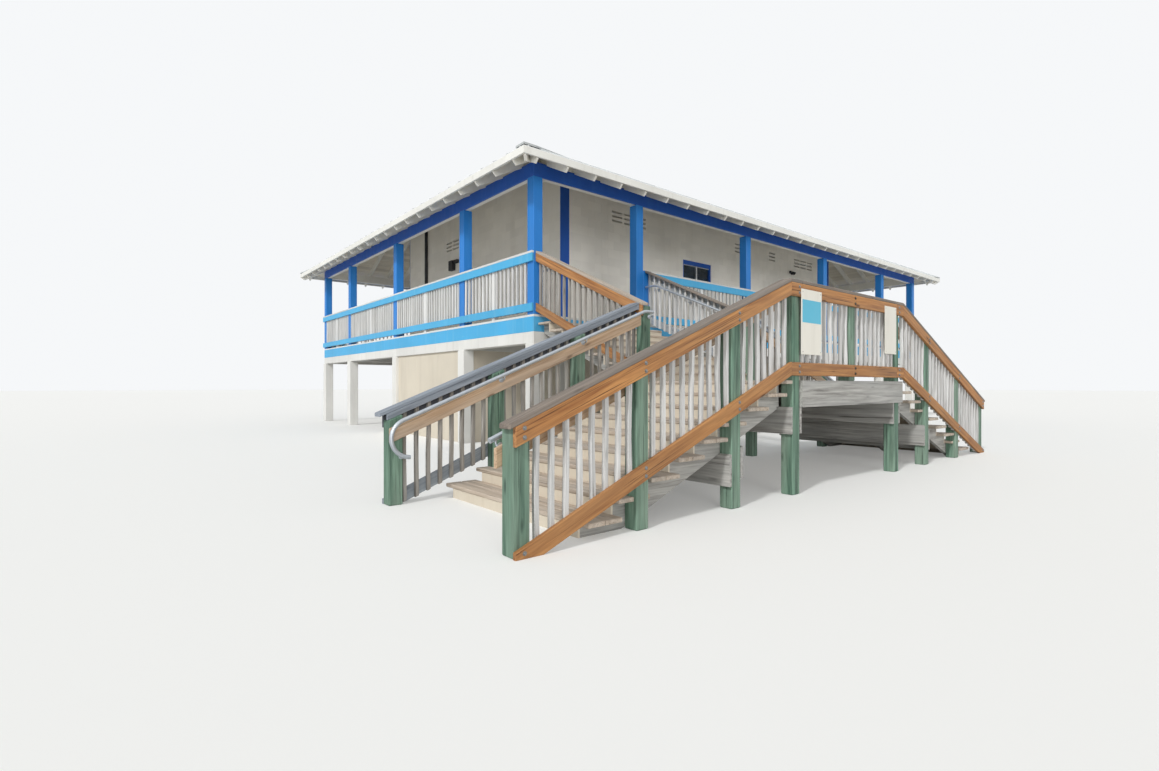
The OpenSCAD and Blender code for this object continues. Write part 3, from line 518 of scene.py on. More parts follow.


# The eave beam is blue outside, in the blue with painted shade, and pale inside; a thin white board
# edges the deck boards
deckLay = {"wide": 0.140, "gap": 0.006, "butt": 0.003, "thick": 0.038, "edge": 0.020,
           "piece": 4.88, "first": 1.2, "last": 0.8, "seed": 61}
skin, edge = building["beamSkin"], deckLay["edge"]
deckUnder = deckTop - deckLay["thick"]
piece("eaveBeams", ringBoards(0, skin, beamLow, beamHigh, 41), "beamBlue", "blue_paint",
      ["eave_beam"])
piece("eaveBeamsInside", ringBoards(skin, building["beamWidth"], beamLow, beamHigh, 45), "rafter",
      "white_paint", ["eave_beam"])
# The deck band is light blue with painted sunlight
piece("deckBand", ringBoards(0, building["bandThick"], girderHigh, deckUnder, 51, 0.004),
      "bandBlue", "rail_blue", ["deck_band"])
piece("deckEdge", ringBoards(0, edge, deckUnder, deckTop, 55, 0.004), "whiteBoards",
      "white_paint", ["deck_floor"])

# Deck boards run along the long side, with butt joints that step from row to row
boarded = deep - 2 * edge + deckLay["gap"]
rows = int(boarded // (deckLay["wide"] + deckLay["gap"]))
pitchY = boarded / rows
boards = []
dice = np.random.default_rng(deckLay["seed"])
for row in range(rows):
    cuts = np.arange(dice.uniform(deckLay["first"], deckLay["piece"]), long - deckLay["last"],
                     deckLay["piece"])
    cuts = np.concatenate([[edge], cuts, [long - edge]])
    near = edge + row * pitchY
    boards.append(beam(xyz(cuts[:-1] + deckLay["butt"] / 2, near, deckUnder),
                       xyz(cuts[1:] - deckLay["butt"] / 2, near + pitchY - deckLay["gap"], deckTop),
                       0.004, seed=100 + row))
piece("deckBoards", boards, "deck", "deck_wood", ["deck_floor"])
print("frame and deck made")

# Railing of the deck, along +X with the faces of the columns on y = 0
railing = {"height": 1.067, "board": 0.140, "thick": 0.038, "foot": 0.050, "baluster": 0.038,
           "spacing": 0.128, "halfPost": 0.089, "butt": 0.002, "leastBoard": 0.3,
           "newelRight": 2.808}
t, w = railing["thick"], railing["board"]
underCap = railing["height"] - t
boardLow = railing["foot"] + w / 2
boardHigh = underCap - w / 2
capMiddle = railing["height"] - t / 2


# Middles of the balusters between two ends
def spread(x0, x1):
    count = max(1, round((x1 - x0) / railing["spacing"]))
    return x0 + (np.arange(count) + 0.5) * (x1 - x0) / count


# Square bars at x, with their outer face on y, from foot to top
def uprights(x, y, foot, top, **more):
    half = railing["baluster"] / 2
    return bars(xyz(x, y + half, foot), xyz(0, 0, top - foot), (half, 0, 0), (0, half, 0), 0.003,
                **more)


# Balusters and half post between two columns
def deckBay(x0, x1, seed):
    m0 = (x0 + x1 - railing["halfPost"]) / 2
    m1 = m0 + railing["halfPost"]
    xs = np.concatenate([spread(x0, m0), spread(m1, x1)])
    return {"balusters": uprights(xs, 0, deckTop + railing["foot"], deckTop + underCap, inner=2,
                                  bend=0.002, seed=seed + 3),
            "halfPosts": beam((m0, 0, deckTop), (m1, railing["halfPost"], deckTop + underCap),
                              seed=seed + 4)}


# Boards and cap of one side: outside the columns, in lengths that meet at their middles
def deckRun(places, ends, capEnds, seed):
    joints = places[1:-1] + width / 2
    least, butt = railing["leastBoard"], railing["butt"] / 2

    def run(limits, y0, y1, z, high, number):
        a, b = limits
        cuts = np.concatenate([[a], joints[(joints > a + least) & (joints < b - least)], [b]])
        middle = deckTop + z
        return beam(xyz(cuts[:-1] + butt, y0, middle - high / 2),
                    xyz(cuts[1:] - butt, y1, middle + high / 2), 0.004, seed=seed + number)

    return {"rails": merged([run(ends, -t, 0, z, w, i)
                             for i, z in enumerate((boardLow, boardHigh))]),
            "caps": run(capEnds, -t, w - t, capMiddle, t, 2)}


# Where the local frame of each side lies in the building
sides = {"front": (straight, (0, 0, 0)), "back": (backward, (0, deep, 0)),
         "left": (swapped, (0, 0, 0)), "right": (sideways, (long, 0, 0))}
newelRight = railing["newelRight"]

# The columns of each side, the ends of its boards and of its cap, and a seed
deckSides = {
    "front": (columnX, (newelRight, long + t), (newelRight, long + t), 165),
    "back": (columnX, (-t, long + t), (-t, long + t), 164),
    "left": (columnY, (0, deep), (0, deep - w + t), 164),
    "right": (columnY, (0, deep), (w - t, deep - w + t), 165),
}
deckParts = {"rails": [], "caps": [], "balusters": [], "halfPosts": []}
seed = 200
for side, (places, *limits) in deckSides.items():
    made = [deckRun(places, *limits)]
    bays = list(zip(places[:-1] + width, places[1:]))
    if side == "front":
        bays = [(newelRight, bays[1][1])] + bays[2:]
    for x0, x1 in bays:
        seed += 10
        made.append(deckBay(x0, x1, seed))
    for parts in made:
        for key, part in parts.items():
            deckParts[key].append(mapped(part, *sides[side]))
# The deck rail boards are light blue with painted sunlight
for key, name, finish in (("rails", "deckRailBoards", "railBlue"), ("caps", "deckRailCaps", "caps"),
                          ("balusters", "deckBalusters", "railWhite"),
                          ("halfPosts", "deckHalfPosts", "whiteBoards")):
    piece(name, deckParts[key], finish, "rail_blue",
          ["front_railing", "back_railing", "left_railing", "right_railing"])
newel = beam((columnX[1] + width, 0, deckTop), (newelRight, w, deckTop + railing["height"]), 0.008)
piece("newelPost", newel, "blueBoards", "blue_paint", ["front_railing"])
print("deck railing made")

# Stair
stair = {"long": 2.850, "near": -4.650, "far": -2.330, "top": 1.217, "steps": 9, "upperSteps": 8,
         "going": 0.340, "nosing": 0.030, "riser": 0.019, "tread": 0.038, "gap": 0.006,
         "landingBoards": 16, "post": 0.140, "postGap": 1.165, "postIn": 0.080,
         "frontShift": 0.095, "capReach": (0.045, 0.075), "level": (0.217, 0.042, 0.220),
         "innerBoard": 0.750, "capBoard": 0.064}
total, near, far, stairTop, post = [stair[k] for k in ("long", "near", "far", "top", "post")]
rise = stairTop / stair["steps"]
slope = rise / stair["going"]
flightLong = stair["going"] * (stair["steps"] - 1)
upperRise = (deckTop - stairTop) / stair["upperSteps"]
upperGoing = -far / (stair["upperSteps"] - 1)
footX = stair["postIn"] - 3 * stair["postGap"]


def mirrored(part):
    return mapped(part, ((-1, 0, 0), (0, 1, 0), (0, 0, 1)), (total, 0, 0))


# Height of the walking line: up the side flight to the landing at x = 0
def walk(x):
    return stairTop + np.minimum(x, 0) * slope


# Low x of the posts in the front row, 0, or the back row, 1, of the left flight
def postPlaces(row):
    x = stair["postIn"] - np.arange(4) * stair["postGap"]
    if row == 0:
        x[1] += stair["frontShift"]
    return x


postParts = []
for row, y in ((0, near), (1, far - post)):
    half = post / 2
    x = postPlaces(row) + half
    high = walk(x) + underCap
    if row == 1:
        high[1:] -= stair["capBoard"]
    made = bars(xyz(x, y + half, 0), xyz(0, 0, high), (half, 0, 0), (0, half, 0), 0.008, inner=3,
                skewEnd=np.where(x < 0, slope, 0.0), seed=301 + row)
    postParts += [made, mirrored(made)]
middle = (total - post) / 2
postParts.append(beam((middle, near, stairTop), (middle + post, near + post, stairTop + underCap),
                      0.008, seed=305))
piece("stairPosts", postParts, "green", "green_post", ["stair_posts"])


# Two boards to a tread: where they start, how wide they are and the level of their tops
def treadBoards(start, going, level, rise, steps):
    step = np.arange(steps - 1)
    wide = (going + stair["nosing"] - stair["riser"] - stair["gap"]) / 2
    first = start + step * going - stair["nosing"]
    return (np.concatenate([first, first + wide + stair["gap"]]), wide,
            np.tile(level + (step + 1) * rise, 2))


# A board that meets a post stops inside it
starts, wide, levels = treadBoards(-flightLong, stair["going"], 0, rise, stair["steps"])
ends = []
for row in (0, 1):
    posts = postPlaces(row)
    meets = ((starts[:, None] < posts + post) & (starts[:, None] + wide > posts)).any(1)
    ends.append(np.where(meets, 0.03, 0.002))
low = xyz(starts, near + ends[0], levels - stair["tread"])
high = xyz(starts + wide, far - ends[1], levels)
piece("sideTreads", [beam(low, high, seed=311), mirrored(beam(low, high, seed=312))], "tread",
      "tread_wood", ["side_treads"])

starts, wide, levels = treadBoards(far, upperGoing, stairTop, upperRise, stair["upperSteps"])
upper = beam(xyz(stair["postIn"], starts, levels - stair["tread"]),
             xyz(total - stair["postIn"], starts + wide, levels), seed=313)
piece("upperTreads", upper, "tread", "tread_wood", ["upper_treads"])

count, gap = stair["landingBoards"], stair["gap"]
number = np.arange(count)
step = (far - near + gap) / count
ys = near + number * step
landing = beam(xyz(-stair["nosing"], ys + 0.004 * (number == 0), stairTop - stair["tread"]),
               xyz(total + stair["nosing"], ys + step - gap - 0.004 * (number == count - 1),
                   stairTop), 0.005, seed=314)
piece("landingBoards", landing, "tread", "tread_wood", ["landing_floor"])


# A sloping board whose low end is cut off by the ground: its outline in x and z is carried
# across y through four rings, the outer ones drawn in by the ease along each corner's bisector
def groundBoard(x0, x1, z0, z1, y0, y1, high, ease=0.004, seed=1):
    lean = (z1 - z0) / (x1 - x0)
    outline = np.array([(x0, 0), (x0 + (high / 2 - z0) / lean, 0), (x1, z1 - high / 2),
                        (x1, z1 + high / 2), (x0, z0 + high / 2)])
    ahead = np.roll(outline, -1, 0) - outline
    inward = np.stack([-ahead[:, 1], ahead[:, 0]], 1) / np.linalg.norm(ahead, axis=1)[:, None]
    before = np.roll(inward, 1, 0)
    drawn = outline + ease * (inward + before) / (1 + (inward * before).sum(1))[:, None]
    n = len(outline)
    x, z = np.concatenate([drawn, outline, outline, drawn]).T
    y = np.repeat([y0, y0 + ease, y1 - ease, y1], n)
    dice = np.random.default_rng(seed)
    perMetre = math.hypot(1, lean)
    grain = xyz((x + lean * z) / perMetre, y, (z - lean * x) / perMetre) + dice.uniform(0, 40, 3)
    return partOf(xyz(x, y, z), [dice.uniform(-1, 1)], ringFaces(1, 4, n, turn=True), grain)


# Outer boards, inner board, caps and balusters of one side flight, with its outer face on
# y = 0. The back ones have one more board, which lies over the posts under the cap.
def sideFlight(row, seed):
    level = stair["level"][row]
    reach = footX - stair["capReach"][row]

    def run(x0, z, y0, y1, high, number, on=True, **more):
        make = groundBoard if walk(x0) + z - high / 2 < 0 else board
        made = [make(x0, 0, walk(x0) + z, walk(0) + z, y0, y1, high, seed=seed + number, **more)]
        if on:
            made.append(board(0.001, level, walk(0) + z, walk(0) + z, y0, y1, high,
                              seed=seed + number + 50, **more))
        return made

    inner = post + t
    tip = footX if row == 1 else reach + 0.004
    posts = postPlaces(row)
    xs = np.concatenate([spread(posts[i + 1] + post, min(posts[i], 0)) for i in range(3)])
    foot = np.maximum(walk(xs) + railing["foot"], 0.010)
    outer, upper = run(footX, boardLow, 0, t, w, 0), run(footX, boardHigh, 0, t, w, 1)
    caps = run(reach, capMiddle, 0, w, t, 4, ease=0.006)
    inside = run(tip, stair["innerBoard"] + w / 2, inner, inner + t, w, 6, on=False)
    balusters = [uprights(xs, t, foot, walk(xs) + underCap, inner=4, bend=0.006, skewStart=slope,
                          skewEnd=slope, seed=seed + 7)]
    if row == 0:
        return {"stairRailBoards": outer + upper, "stairInnerBoards": inside,
                "stairFrontCaps": caps, "stairFrontBalusters": balusters}
    high = stair["capBoard"]
    caps += run(footX, underCap - high / 2, w - t, w, high - 0.002, 2)
    return {"stairBackBoards": outer, "stairBackTopBoards": upper, "stairInnerBoards": inside,
            "stairBackCaps": caps, "stairBackBalusters": balusters}


# Where the flights' local frames go: outer face in front, or behind and turned round
flightPlaces = ((straight, (0, near - t, 0)), (backward, (0, far + t, 0)))
stairPieces = {
    "stairRailBoards": ("cedar", "cedar_rail"), "stairBackBoards": ("greyBoards", "grey_wood"),
    # The back rails' upper outer board is dark with painted shade
    "stairBackTopBoards": ("slate", "grey_wood"), "stairInnerBoards": ("tan", "cedar_rail"),
    "stairFrontCaps": ("brownGrey", "grey_wood"), "stairBackCaps": ("grey", "grey_wood"),
    "stairFrontBalusters": ("paleGrey", "grey_wood"),
    "stairBackBalusters": ("darkGrey", "grey_wood")}
stairParts = {name: [] for name in stairPieces}
for row in (0, 1):
    for right in (False, True):
        for name, parts in sideFlight(row, 400 + 20 * row + 10 * right).items():
            parts = [mapped(part, *flightPlaces[row]) for part in parts]
            stairParts[name] += [mirrored(part) for part in parts] if right else parts

# The level stretch along the front of the landing
a = stair["level"][2]
b = total - a
xs = np.concatenate([spread(a, middle), spread(middle + post, b)])
landingParts = [("stairRailBoards", board(a, b, stairTop + z, stairTop + z, 0, t, w, seed=450 + i))
                for i, z in enumerate((boardLow, boardHigh))]
landingParts += [
    ("stairFrontCaps", board(a, b, stairTop + capMiddle, stairTop + capMiddle, 0, w, t, ease=0.006,
                             seed=452)),
    ("stairFrontBalusters", uprights(xs, t, stairTop + railing["foot"], stairTop + underCap,
                                     inner=4, bend=0.006, seed=453))]
for name, part in landingParts:
    stairParts[name].append(mapped(part, *flightPlaces[0]))
for name, looks in stairPieces.items():
    piece(name, stairParts[name], *looks,
          ["front_left_rail", "landing_rail", "front_right_rail", "back_stair_rails"])

# Railings of the upper flight: local x runs along +Y and local y along +X
y0 = far - post
lean = (deckTop - stairTop) / -y0
upperPlace = (swapped, (stair["postIn"] - t, 0, 0))
ys = spread(far, 0)
foot = stairTop + (ys - y0) * lean + railing["foot"]
for name, looks in (("upperLeft", ("cedar", "tread", "darkGrey")),
                    ("upperRight", ("greyBoards", "brownGrey", "paleGrey"))):
    right = name == "upperRight"
    seed = 470 + 10 * right
    parts = [
        ("Boards", "cedar_rail", merged([
            board(y0, 0, stairTop + z, deckTop + z, 0, t, w, seed=seed + i)
            for i, z in enumerate((boardLow, boardHigh))])),
        ("Cap", "grey_wood", board(y0, 0, stairTop + capMiddle, deckTop + capMiddle, 0, w, t,
                                   ease=0.006, seed=seed + 2)),
        ("Balusters", "grey_wood", uprights(
            ys, t, foot, foot + underCap - railing["foot"], inner=4, bend=0.005, skewStart=lean,
            skewEnd=lean, seed=seed + 3))]
    for (ending, slotName, part), finish in zip(parts, looks):
        part = mapped(part, *upperPlace)
        piece(name + ending, mirrored(part) if right else part, finish, slotName,
              ["upper_stair_rails"])

# Bolt heads on round washers, one over the other where a board crosses a post
bolt = {"lift": 0.032, "lowest": 0.02, "profile": [
    (0.017, -0.002), (0.017, 0.002), (0.0165, 0.003), (0.0105, 0.003), (0.0105, 0.009),
    (0.009, 0.0105)]}
lifts = [z + s * bolt["lift"] for z in (boardLow, boardHigh) for s in (-1, 1)]
bolts = []
for row, y, out in ((0, near - t, -1), (1, far + t, 1)):
    x = postPlaces(row) + post / 2
    centres = np.concatenate([xyz(x, y, walk(x) + lift) for lift in lifts])
    if row == 0:
        centres = np.concatenate([centres, xyz(total / 2, y, stairTop + np.array(lifts))])
    centres = centres[centres[:, 2] > bolt["lowest"]]
    bolts.append(turned(centres, (0, out, 0), bolt["profile"], 8))
piece("railBolts", bolts + [mirrored(b) for b in bolts], "bolt", "galvanised")

# Handrail tubes of the stair
handrail = {"high": 0.930, "wide": 0.042, "knee": 0.050, "start": 0.100, "turn": 0.185,
            "off": 0.070, "tipIn": 0.012, "rod": 0.008, "rodBend": 0.020, "rodDrop": 0.016,
            "plate": 0.030, "pin": 0.028, "upperHigh": 0.850, "upperStart": 0.150,
            "upperEnd": 0.300, "upperKnee": 0.060, "upperDrop": 0.080}


# A corner of a tube's path: a curve of three control points, from a through b to c
def knee(a, b, c):
    s = np.linspace(0, 1, 7)[:, None]
    return (1 - s) ** 2 * np.array(a) + 2 * s * (1 - s) * np.array(b) + s ** 2 * np.array(c)


# Handrail tube as (x, z): level over the landing and down the flight. The back one makes half
# a turn round its centre, from the slope to level, and the front one runs straight on.
def handrailPath(row):
    angle = math.atan(slope)
    r, high, k = handrail["turn"], handrail["high"], handrail["knee"]
    topZ = stairTop + high
    bend = knee((k, topZ), (0, topZ), (-k, topZ - k * slope))
    path = [[(stair["postIn"] + post / 2, topZ)], bend]
    if row == 0:
        tip = footX - stair["capReach"][0] + handrail["tipIn"]
        return np.concatenate(path + [np.linspace(bend[-1], (tip, walk(tip) + high), 8)[1:]])
    x0 = footX + handrail["start"]
    z0 = walk(x0) + high
    cx, cz = x0 + r * math.sin(angle), z0 - r * math.cos(angle)
    a = np.linspace(math.pi / 2 + angle, 3 * math.pi / 2, 26)[1:]
    loop = np.stack([cx + r * np.cos(a), cz + r * np.sin(a)], 1)
    return np.concatenate(path + [np.linspace(bend[-1], (x0, z0), 8)[1:], loop])


# Round plate against a face that looks along +Y
def plate(x, y, z, radius):
    profile = [(radius, 0), (radius, 0.003), (radius - 0.003, 0.005)]
    return turned([(x, y, z)], (0, 1, 0), profile, 16)


# A thin rod whose path is given as (y, x, z), in a plane of constant x
def rod(path):
    return mapped(tube(path, handrail["rod"], 10), swapped)


# Bracket: out from a plate on a face at y0, then up to the tube at y1
def bracket(x, y0, y1, z, top):
    r = handrail["rodBend"]
    s = np.linspace(0, math.pi / 2, 6)
    arm = np.concatenate([[(y0 - 0.01, x, z)],
                          xyz(y1 - r + r * np.sin(s), x, z + r - r * np.cos(s)), [(y1, x, top)]])
    return [rod(arm), plate(x, y0, z, handrail["plate"])]


def bothSides(parts, place):
    parts = [mapped(part, *place) for part in parts]
    return [p for part in parts for p in (part, mirrored(part))]


tubes = []
yPost = t + post
yBoard = yPost + t
yTube = yBoard + handrail["off"]
for row, place in enumerate(flightPlaces):
    line = handrailPath(row)
    parts = [tube(xyz(line[:, 0], yTube, line[:, 1]), handrail["wide"] / 2)]
    xs = postPlaces(row)[:3] + post / 2
    if row == 0:
        xs = np.append(xs, footX + 0.02)
    for x in xs:
        z = walk(x) + stair["innerBoard"] + w - handrail["rodDrop"]
        parts += bracket(x, yBoard, yTube, z, walk(x) + handrail["high"])
    if row == 1:
        x, z = footX + post - handrail["rodDrop"], line[-1, 1]
        parts += [rod([(yPost - 0.005, x, z), (yTube, x, z)]), plate(x, yPost, z, handrail["pin"])]
    tubes += bothSides(parts, place)

# Tubes of the upper flight, in the local frame of its railings: up the slope, then level
yUpper = t + railing["baluster"]
yTube = yUpper + handrail["off"]


def upperTubeZ(x):
    return (stairTop + upperRise + handrail["upperHigh"]
            + (x - far + stair["nosing"]) * upperRise / upperGoing)


x0, x1, k = far + handrail["upperStart"], -handrail["upperEnd"], handrail["upperKnee"]
level = upperTubeZ(x1)
bend = knee((x1 - k, upperTubeZ(x1 - k)), (x1, level), (x1 + k, level))
line = np.concatenate([np.linspace((x0, upperTubeZ(x0)), bend[0], 6)[:-1], bend,
                       [(-handrail["wide"], level)]])
parts = [tube(xyz(line[:, 0], yTube, line[:, 1]), handrail["wide"] / 2)]
places = spread(far, 0)
for x in places[[1, round(len(places) / 2), -3]]:
    parts += bracket(x, yUpper, yTube, upperTubeZ(x) - handrail["upperDrop"], upperTubeZ(x))
tubes += bothSides(parts, upperPlace)
piece("handrailTubes", tubes, "zinc", "galvanised", ["handrails"], smooth=True)
print("stair made")

# Roof
roof = {"pitch": 0.5, "boards": 5.1107, "boardWide": 0.140, "boardThick": 0.025, "boardGap": 0.003,
        "mitre": 0.006, "tail": 0.560, "sheet": 5.1387, "sheetThick": 0.004, "eave": 0.594,
        "ribGap": 0.406, "ribFoot": 0.020, "ribTop": 0.008, "ribHigh": 0.020, "lip": 0.030}
slopeLong = math.hypot(1, roof["pitch"])
ridgeHalf = deep / 2


# Roof boards: bars along each eave from hip to hip, mitred at the hips
def slopeBoards(run, span, seed):
    full = (span + roof["tail"]) * slopeLong
    count = int(full // (roof["boardWide"] + roof["boardGap"]))
    step = full / count
    y = -roof["tail"] + (np.arange(count) + 0.5) * step / slopeLong
    x = y + roof["mitre"]
    up = np.array((0, -roof["pitch"], 1)) / slopeLong * roof["boardThick"] / 2
    side = np.array((0, 1, roof["pitch"])) / slopeLong * (step - roof["boardGap"]) / 2
    start = xyz(x, y, roof["boards"] + y * roof["pitch"]) + up
    return bars(start, xyz(run - 2 * x, 0, 0), side, up, 0.002, skewStart=1 / slopeLong,
                skewEnd=-1 / slopeLong, seed=seed)


# Metal sheet: z = plane(y) + rib(x), on a grid whose columns stand at the feet and tops of the
# ribs and whose rows go from the turned-down lip at the eave to the hip or the ridge
def sheetPanel(run):
    out, foot, top = roof["eave"], roof["ribFoot"], roof["ribTop"]
    firstRib = run / 2 - roof["ribGap"] * math.floor((run / 2 + out - 0.05) / roof["ribGap"])
    ribs = np.arange(firstRib, run + out - 0.04, roof["ribGap"])
    x = np.sort(np.concatenate([ribs - foot, ribs - top, ribs + top, ribs + foot,
                                [-out, run + out, ridgeHalf, run - ridgeHalf]]))[:, None]
    lift = np.interp(np.abs(x - ribs).min(1), (top, foot), (roof["ribHigh"], 0))[:, None]
    reach = np.clip(np.minimum(x, run - x), -out, ridgeHalf)
    y = -out + (reach + out) * np.linspace(0, 1, 9)
    z = roof["sheet"] + 2 * roof["sheetThick"] + y * roof["pitch"] + lift
    lip = xyz(x, y[:, :1], z[:, :1] - roof["lip"] - lift)
    return np.concatenate([lip, xyz(x, y, z)], 1)


# A grid of points with a quad between each four neighbours
def gridPart(grid):
    n, m = grid.shape[:2]
    index = np.arange(n * m).reshape(n, m)
    quads = np.stack([index[:-1, :-1], index[1:, :-1], index[1:, 1:], index[:-1, 1:]], -1)
    return partOf(grid, [0.0], [quads.reshape(-1, 4)])


# Each slope with the length of its eave, and how far its boards stop short of the ridge
slopes = {"front": (long, 0.01), "back": (long, 0.01), "left": (deep, 0.08), "right": (deep, 0.08)}
slopeParts = [mapped(slopeBoards(run, ridgeHalf - short, 501 + i), *sides[side])
              for i, (side, (run, short)) in enumerate(slopes.items())]
piece("roofDeckBoards", slopeParts, "soffit", "white_paint", ["roof_boards"])

# The turned-down lip at the eave is a piece of its own, almost white with a painted highlight
for name, gridRows, finish in (("roofSheet", slice(1, None), "roof"),
                               ("roofLip", slice(0, 2), "lip")):
    parts = [mapped(gridPart(sheetPanel(plan[0])[:, gridRows]), *sides[side])
             for side, plan in slopes.items()]
    made = piece(name, parts, finish, "roof_metal", ["roof_sheet"])
    thickness = made.modifiers.new("thickness", "SOLIDIFY")
    thickness.thickness = roof["sheetThick"]
    thickness.offset = -1
print("roof made")

# Walls of the room: faces of painted blocks, laid in half bond, around the openings
room = {"side": 2.100, "walk": 2.000, "blockLong": 0.400, "blockHigh": 0.200, "joint": 0.006,
        "proud": 0.0015, "slant": 0.002, "least": 0.020, "leastCut": 0.015, "frontTop": 5.895,
        "sideTop": 5.945, "trim": 0.240, "edge": 0.006}
vents = {"low": deckTop + 2.634, "high": 0.320, "wide": 0.400, "sideY": 4.650,
         "front": [(3.610, 3), (8.450, 2), (10.210, 1), (11.660, 3)]}
window = {"x": 6.190, "wide": 1.180, "sill": deckTop + 1.530, "high": 0.600, "jamb": 0.045,
          "head": 0.110, "foot": 0.050, "mullion": 0.040, "rim": 0.020, "face": 0.020}
door = {"wide": 1.0, "high": 2.08}


# Rectangles (u0, u1, v0, v1) that are larger than the least size both ways
def largeOnes(rects, least):
    u0, u1, v0, v1 = rects.T
    return rects[(u1 - u0 > least) & (v1 - v0 > least)]


# Rectangles with a hole taken out: what is left, right, under and over it
def cutOut(rects, hole):
    u0, u1, v0, v1 = rects.T
    h0, h1, k0, k1 = hole
    hit = (u0 < h1) & (u1 > h0) & (v0 < k1) & (v1 > k0)
    u0, u1, v0, v1 = rects[hit].T
    m0, m1 = np.maximum(u0, h0), np.minimum(u1, h1)
    around = [(u0, np.minimum(u1, h0), v0, v1), (np.maximum(u0, h1), u1, v0, v1),
              (m0, m1, v0, np.minimum(v1, k0)), (m0, m1, np.maximum(v0, k1), v1)]
    around = np.concatenate([np.stack(a, 1) for a in around])
    return np.concatenate([rects[~hit], largeOnes(around, room["leastCut"])])


# A thin block face per rectangle: back corners on the wall, front corners drawn in
def blockFaces(rects, seed):
    def ringAt(inset, out):
        u0, v0 = rects[:, 0] + inset, rects[:, 2] + inset
        u1, v1 = rects[:, 1] - inset, rects[:, 3] - inset
        return xyz(np.stack([u0, u1, u1, u0], 1), -out, np.stack([v0, v0, v1, v1], 1))

    points = np.concatenate([ringAt(0, -0.001), ringAt(room["slant"], room["proud"])], 1)
    tone = np.random.default_rng(seed).uniform(-1, 1, len(rects))
    return partOf(points, tone, ringFaces(len(rects), 2, 4))


# Courses of blocks from end to end of a wall, every second one moved by half a block
def blockWall(run, top, holes, seed, trim=0.0):
    high, wide, joint = room["blockHigh"], room["blockLong"], room["joint"]
    lay = []
    for course in range(math.ceil((top - deckTop) / high)):
        edges = np.arange(-0.5 * (course % 2), run / wide + 1) * wide
        edges = np.unique(np.round(np.clip(edges, trim, run - trim), 5))
        v0 = deckTop + course * high
        v1 = min(v0 + high, top + joint)
        lay.append(np.stack(np.broadcast_arrays(edges[:-1] + joint / 2, edges[1:] - joint / 2, v0,
                                                v1 - joint), 1))
    rects = largeOnes(np.concatenate(lay), room["least"])
    for hole in holes:
        rects = cutOut(rects, hole)
    return blockFaces(rects, seed)


# An opening with a free edge all round, placed from the start of its wall
def openingAt(start, wide, low, high):
    free = room["edge"]
    return (start - free, start + wide + free, low - free, low + high + free)


inX, inY = room["side"], room["walk"]
roomLong, roomDeep = long - 2 * inX, deep - 2 * inY
frontHoles = [openingAt(x - inX, n * vents["wide"], vents["low"], vents["high"])
              for x, n in vents["front"]]
frontHoles.append(openingAt(window["x"] - inX, window["wide"], window["sill"], window["high"]))
backHoles = [openingAt(k * long / 3 - door["wide"] / 2 - inX, door["wide"], deckTop, door["high"])
             for k in (1, 2)]
leftHoles = [openingAt(vents["sideY"], 2 * vents["wide"], vents["low"], vents["high"])]
trimWide = room["trim"] + room["edge"]
wallParts = [
    mapped(blockWall(roomLong, room["frontTop"], frontHoles, 601, trimWide), straight,
           (inX, inY, 0)),
    mapped(blockWall(roomLong, room["frontTop"], backHoles, 602, trimWide), backward,
           (inX, deep - inY, 0)),
    mapped(blockWall(roomDeep, room["sideTop"], leftHoles, 603), swapped, (inX, inY, 0)),
    mapped(blockWall(roomDeep, room["sideTop"], [], 604), sideways, (long - inX, inY, 0))]
piece("wallBlocks", wallParts, "block", "wall_block")

# Store wall of the ground storey, in panels with eased joints
storeWall = {"in": 0.045, "thick": 0.100, "panel": 1.2, "bays": 4}
outer, inner = storeWall["in"], storeWall["in"] + storeWall["thick"]


# Both ends of each panel between two posts
def panels(first, second):
    a, b = first + width + grow, second - grow
    edges = np.linspace(a, b, max(1, round((b - a) / storeWall["panel"])) + 1)
    return zip(edges, edges[1:])


storeParts = [beam((outer, a, 0), (inner, b, girderLow)) for a, b in panels(*columnY[1:3])]
for i in range(storeWall["bays"]):
    storeParts += [beam((a, columnY[1] + outer, 0), (b, columnY[1] + inner, girderLow))
                   for a, b in panels(*columnX[i:i + 2])]
piece("storePanels", storeParts, "store", "wall_block", ["store_wall"])


# Window: deep head, slim jambs, pale mullion and inner rims
def windowBars(out, back, ease, *rects):
    face = inY + window["face"]
    return [beam((a, face - out, low), (b, face + back, high), ease) for a, b, low, high in rects]


x0, x1 = window["x"], window["x"] + window["wide"]
z0, z1 = window["sill"], window["sill"] + window["high"]
a, b = x0 + window["jamb"], x1 - window["jamb"]
low, high = z0 + window["foot"], z1 - window["head"]
m0, m1 = [(x0 + x1 + s * window["mullion"]) / 2 for s in (-1, 1)]
frameParts = windowBars(0.010, 0.070, 0.004, (x0, a, z0, z1), (b, x1, z0, z1))
frameParts += windowBars(0.012, 0.070, 0.004, (a, b, high, z1), (a, b, z0, low))
piece("windowFrame", frameParts, "blue", "blue_paint", ["window_frame"])
sash = windowBars(0, 0.060, 0.003, (m0, m1, low, high))
for e0, e1 in ((a, m0), (m1, b)):
    sash += windowBars(-0.012, 0.050, 0.002, (e0, e1, low, low + 0.025),
                       (e0, e1, high - window["rim"], high))
piece("windowSash", sash, "alloy", "glass", ["window_frame"])

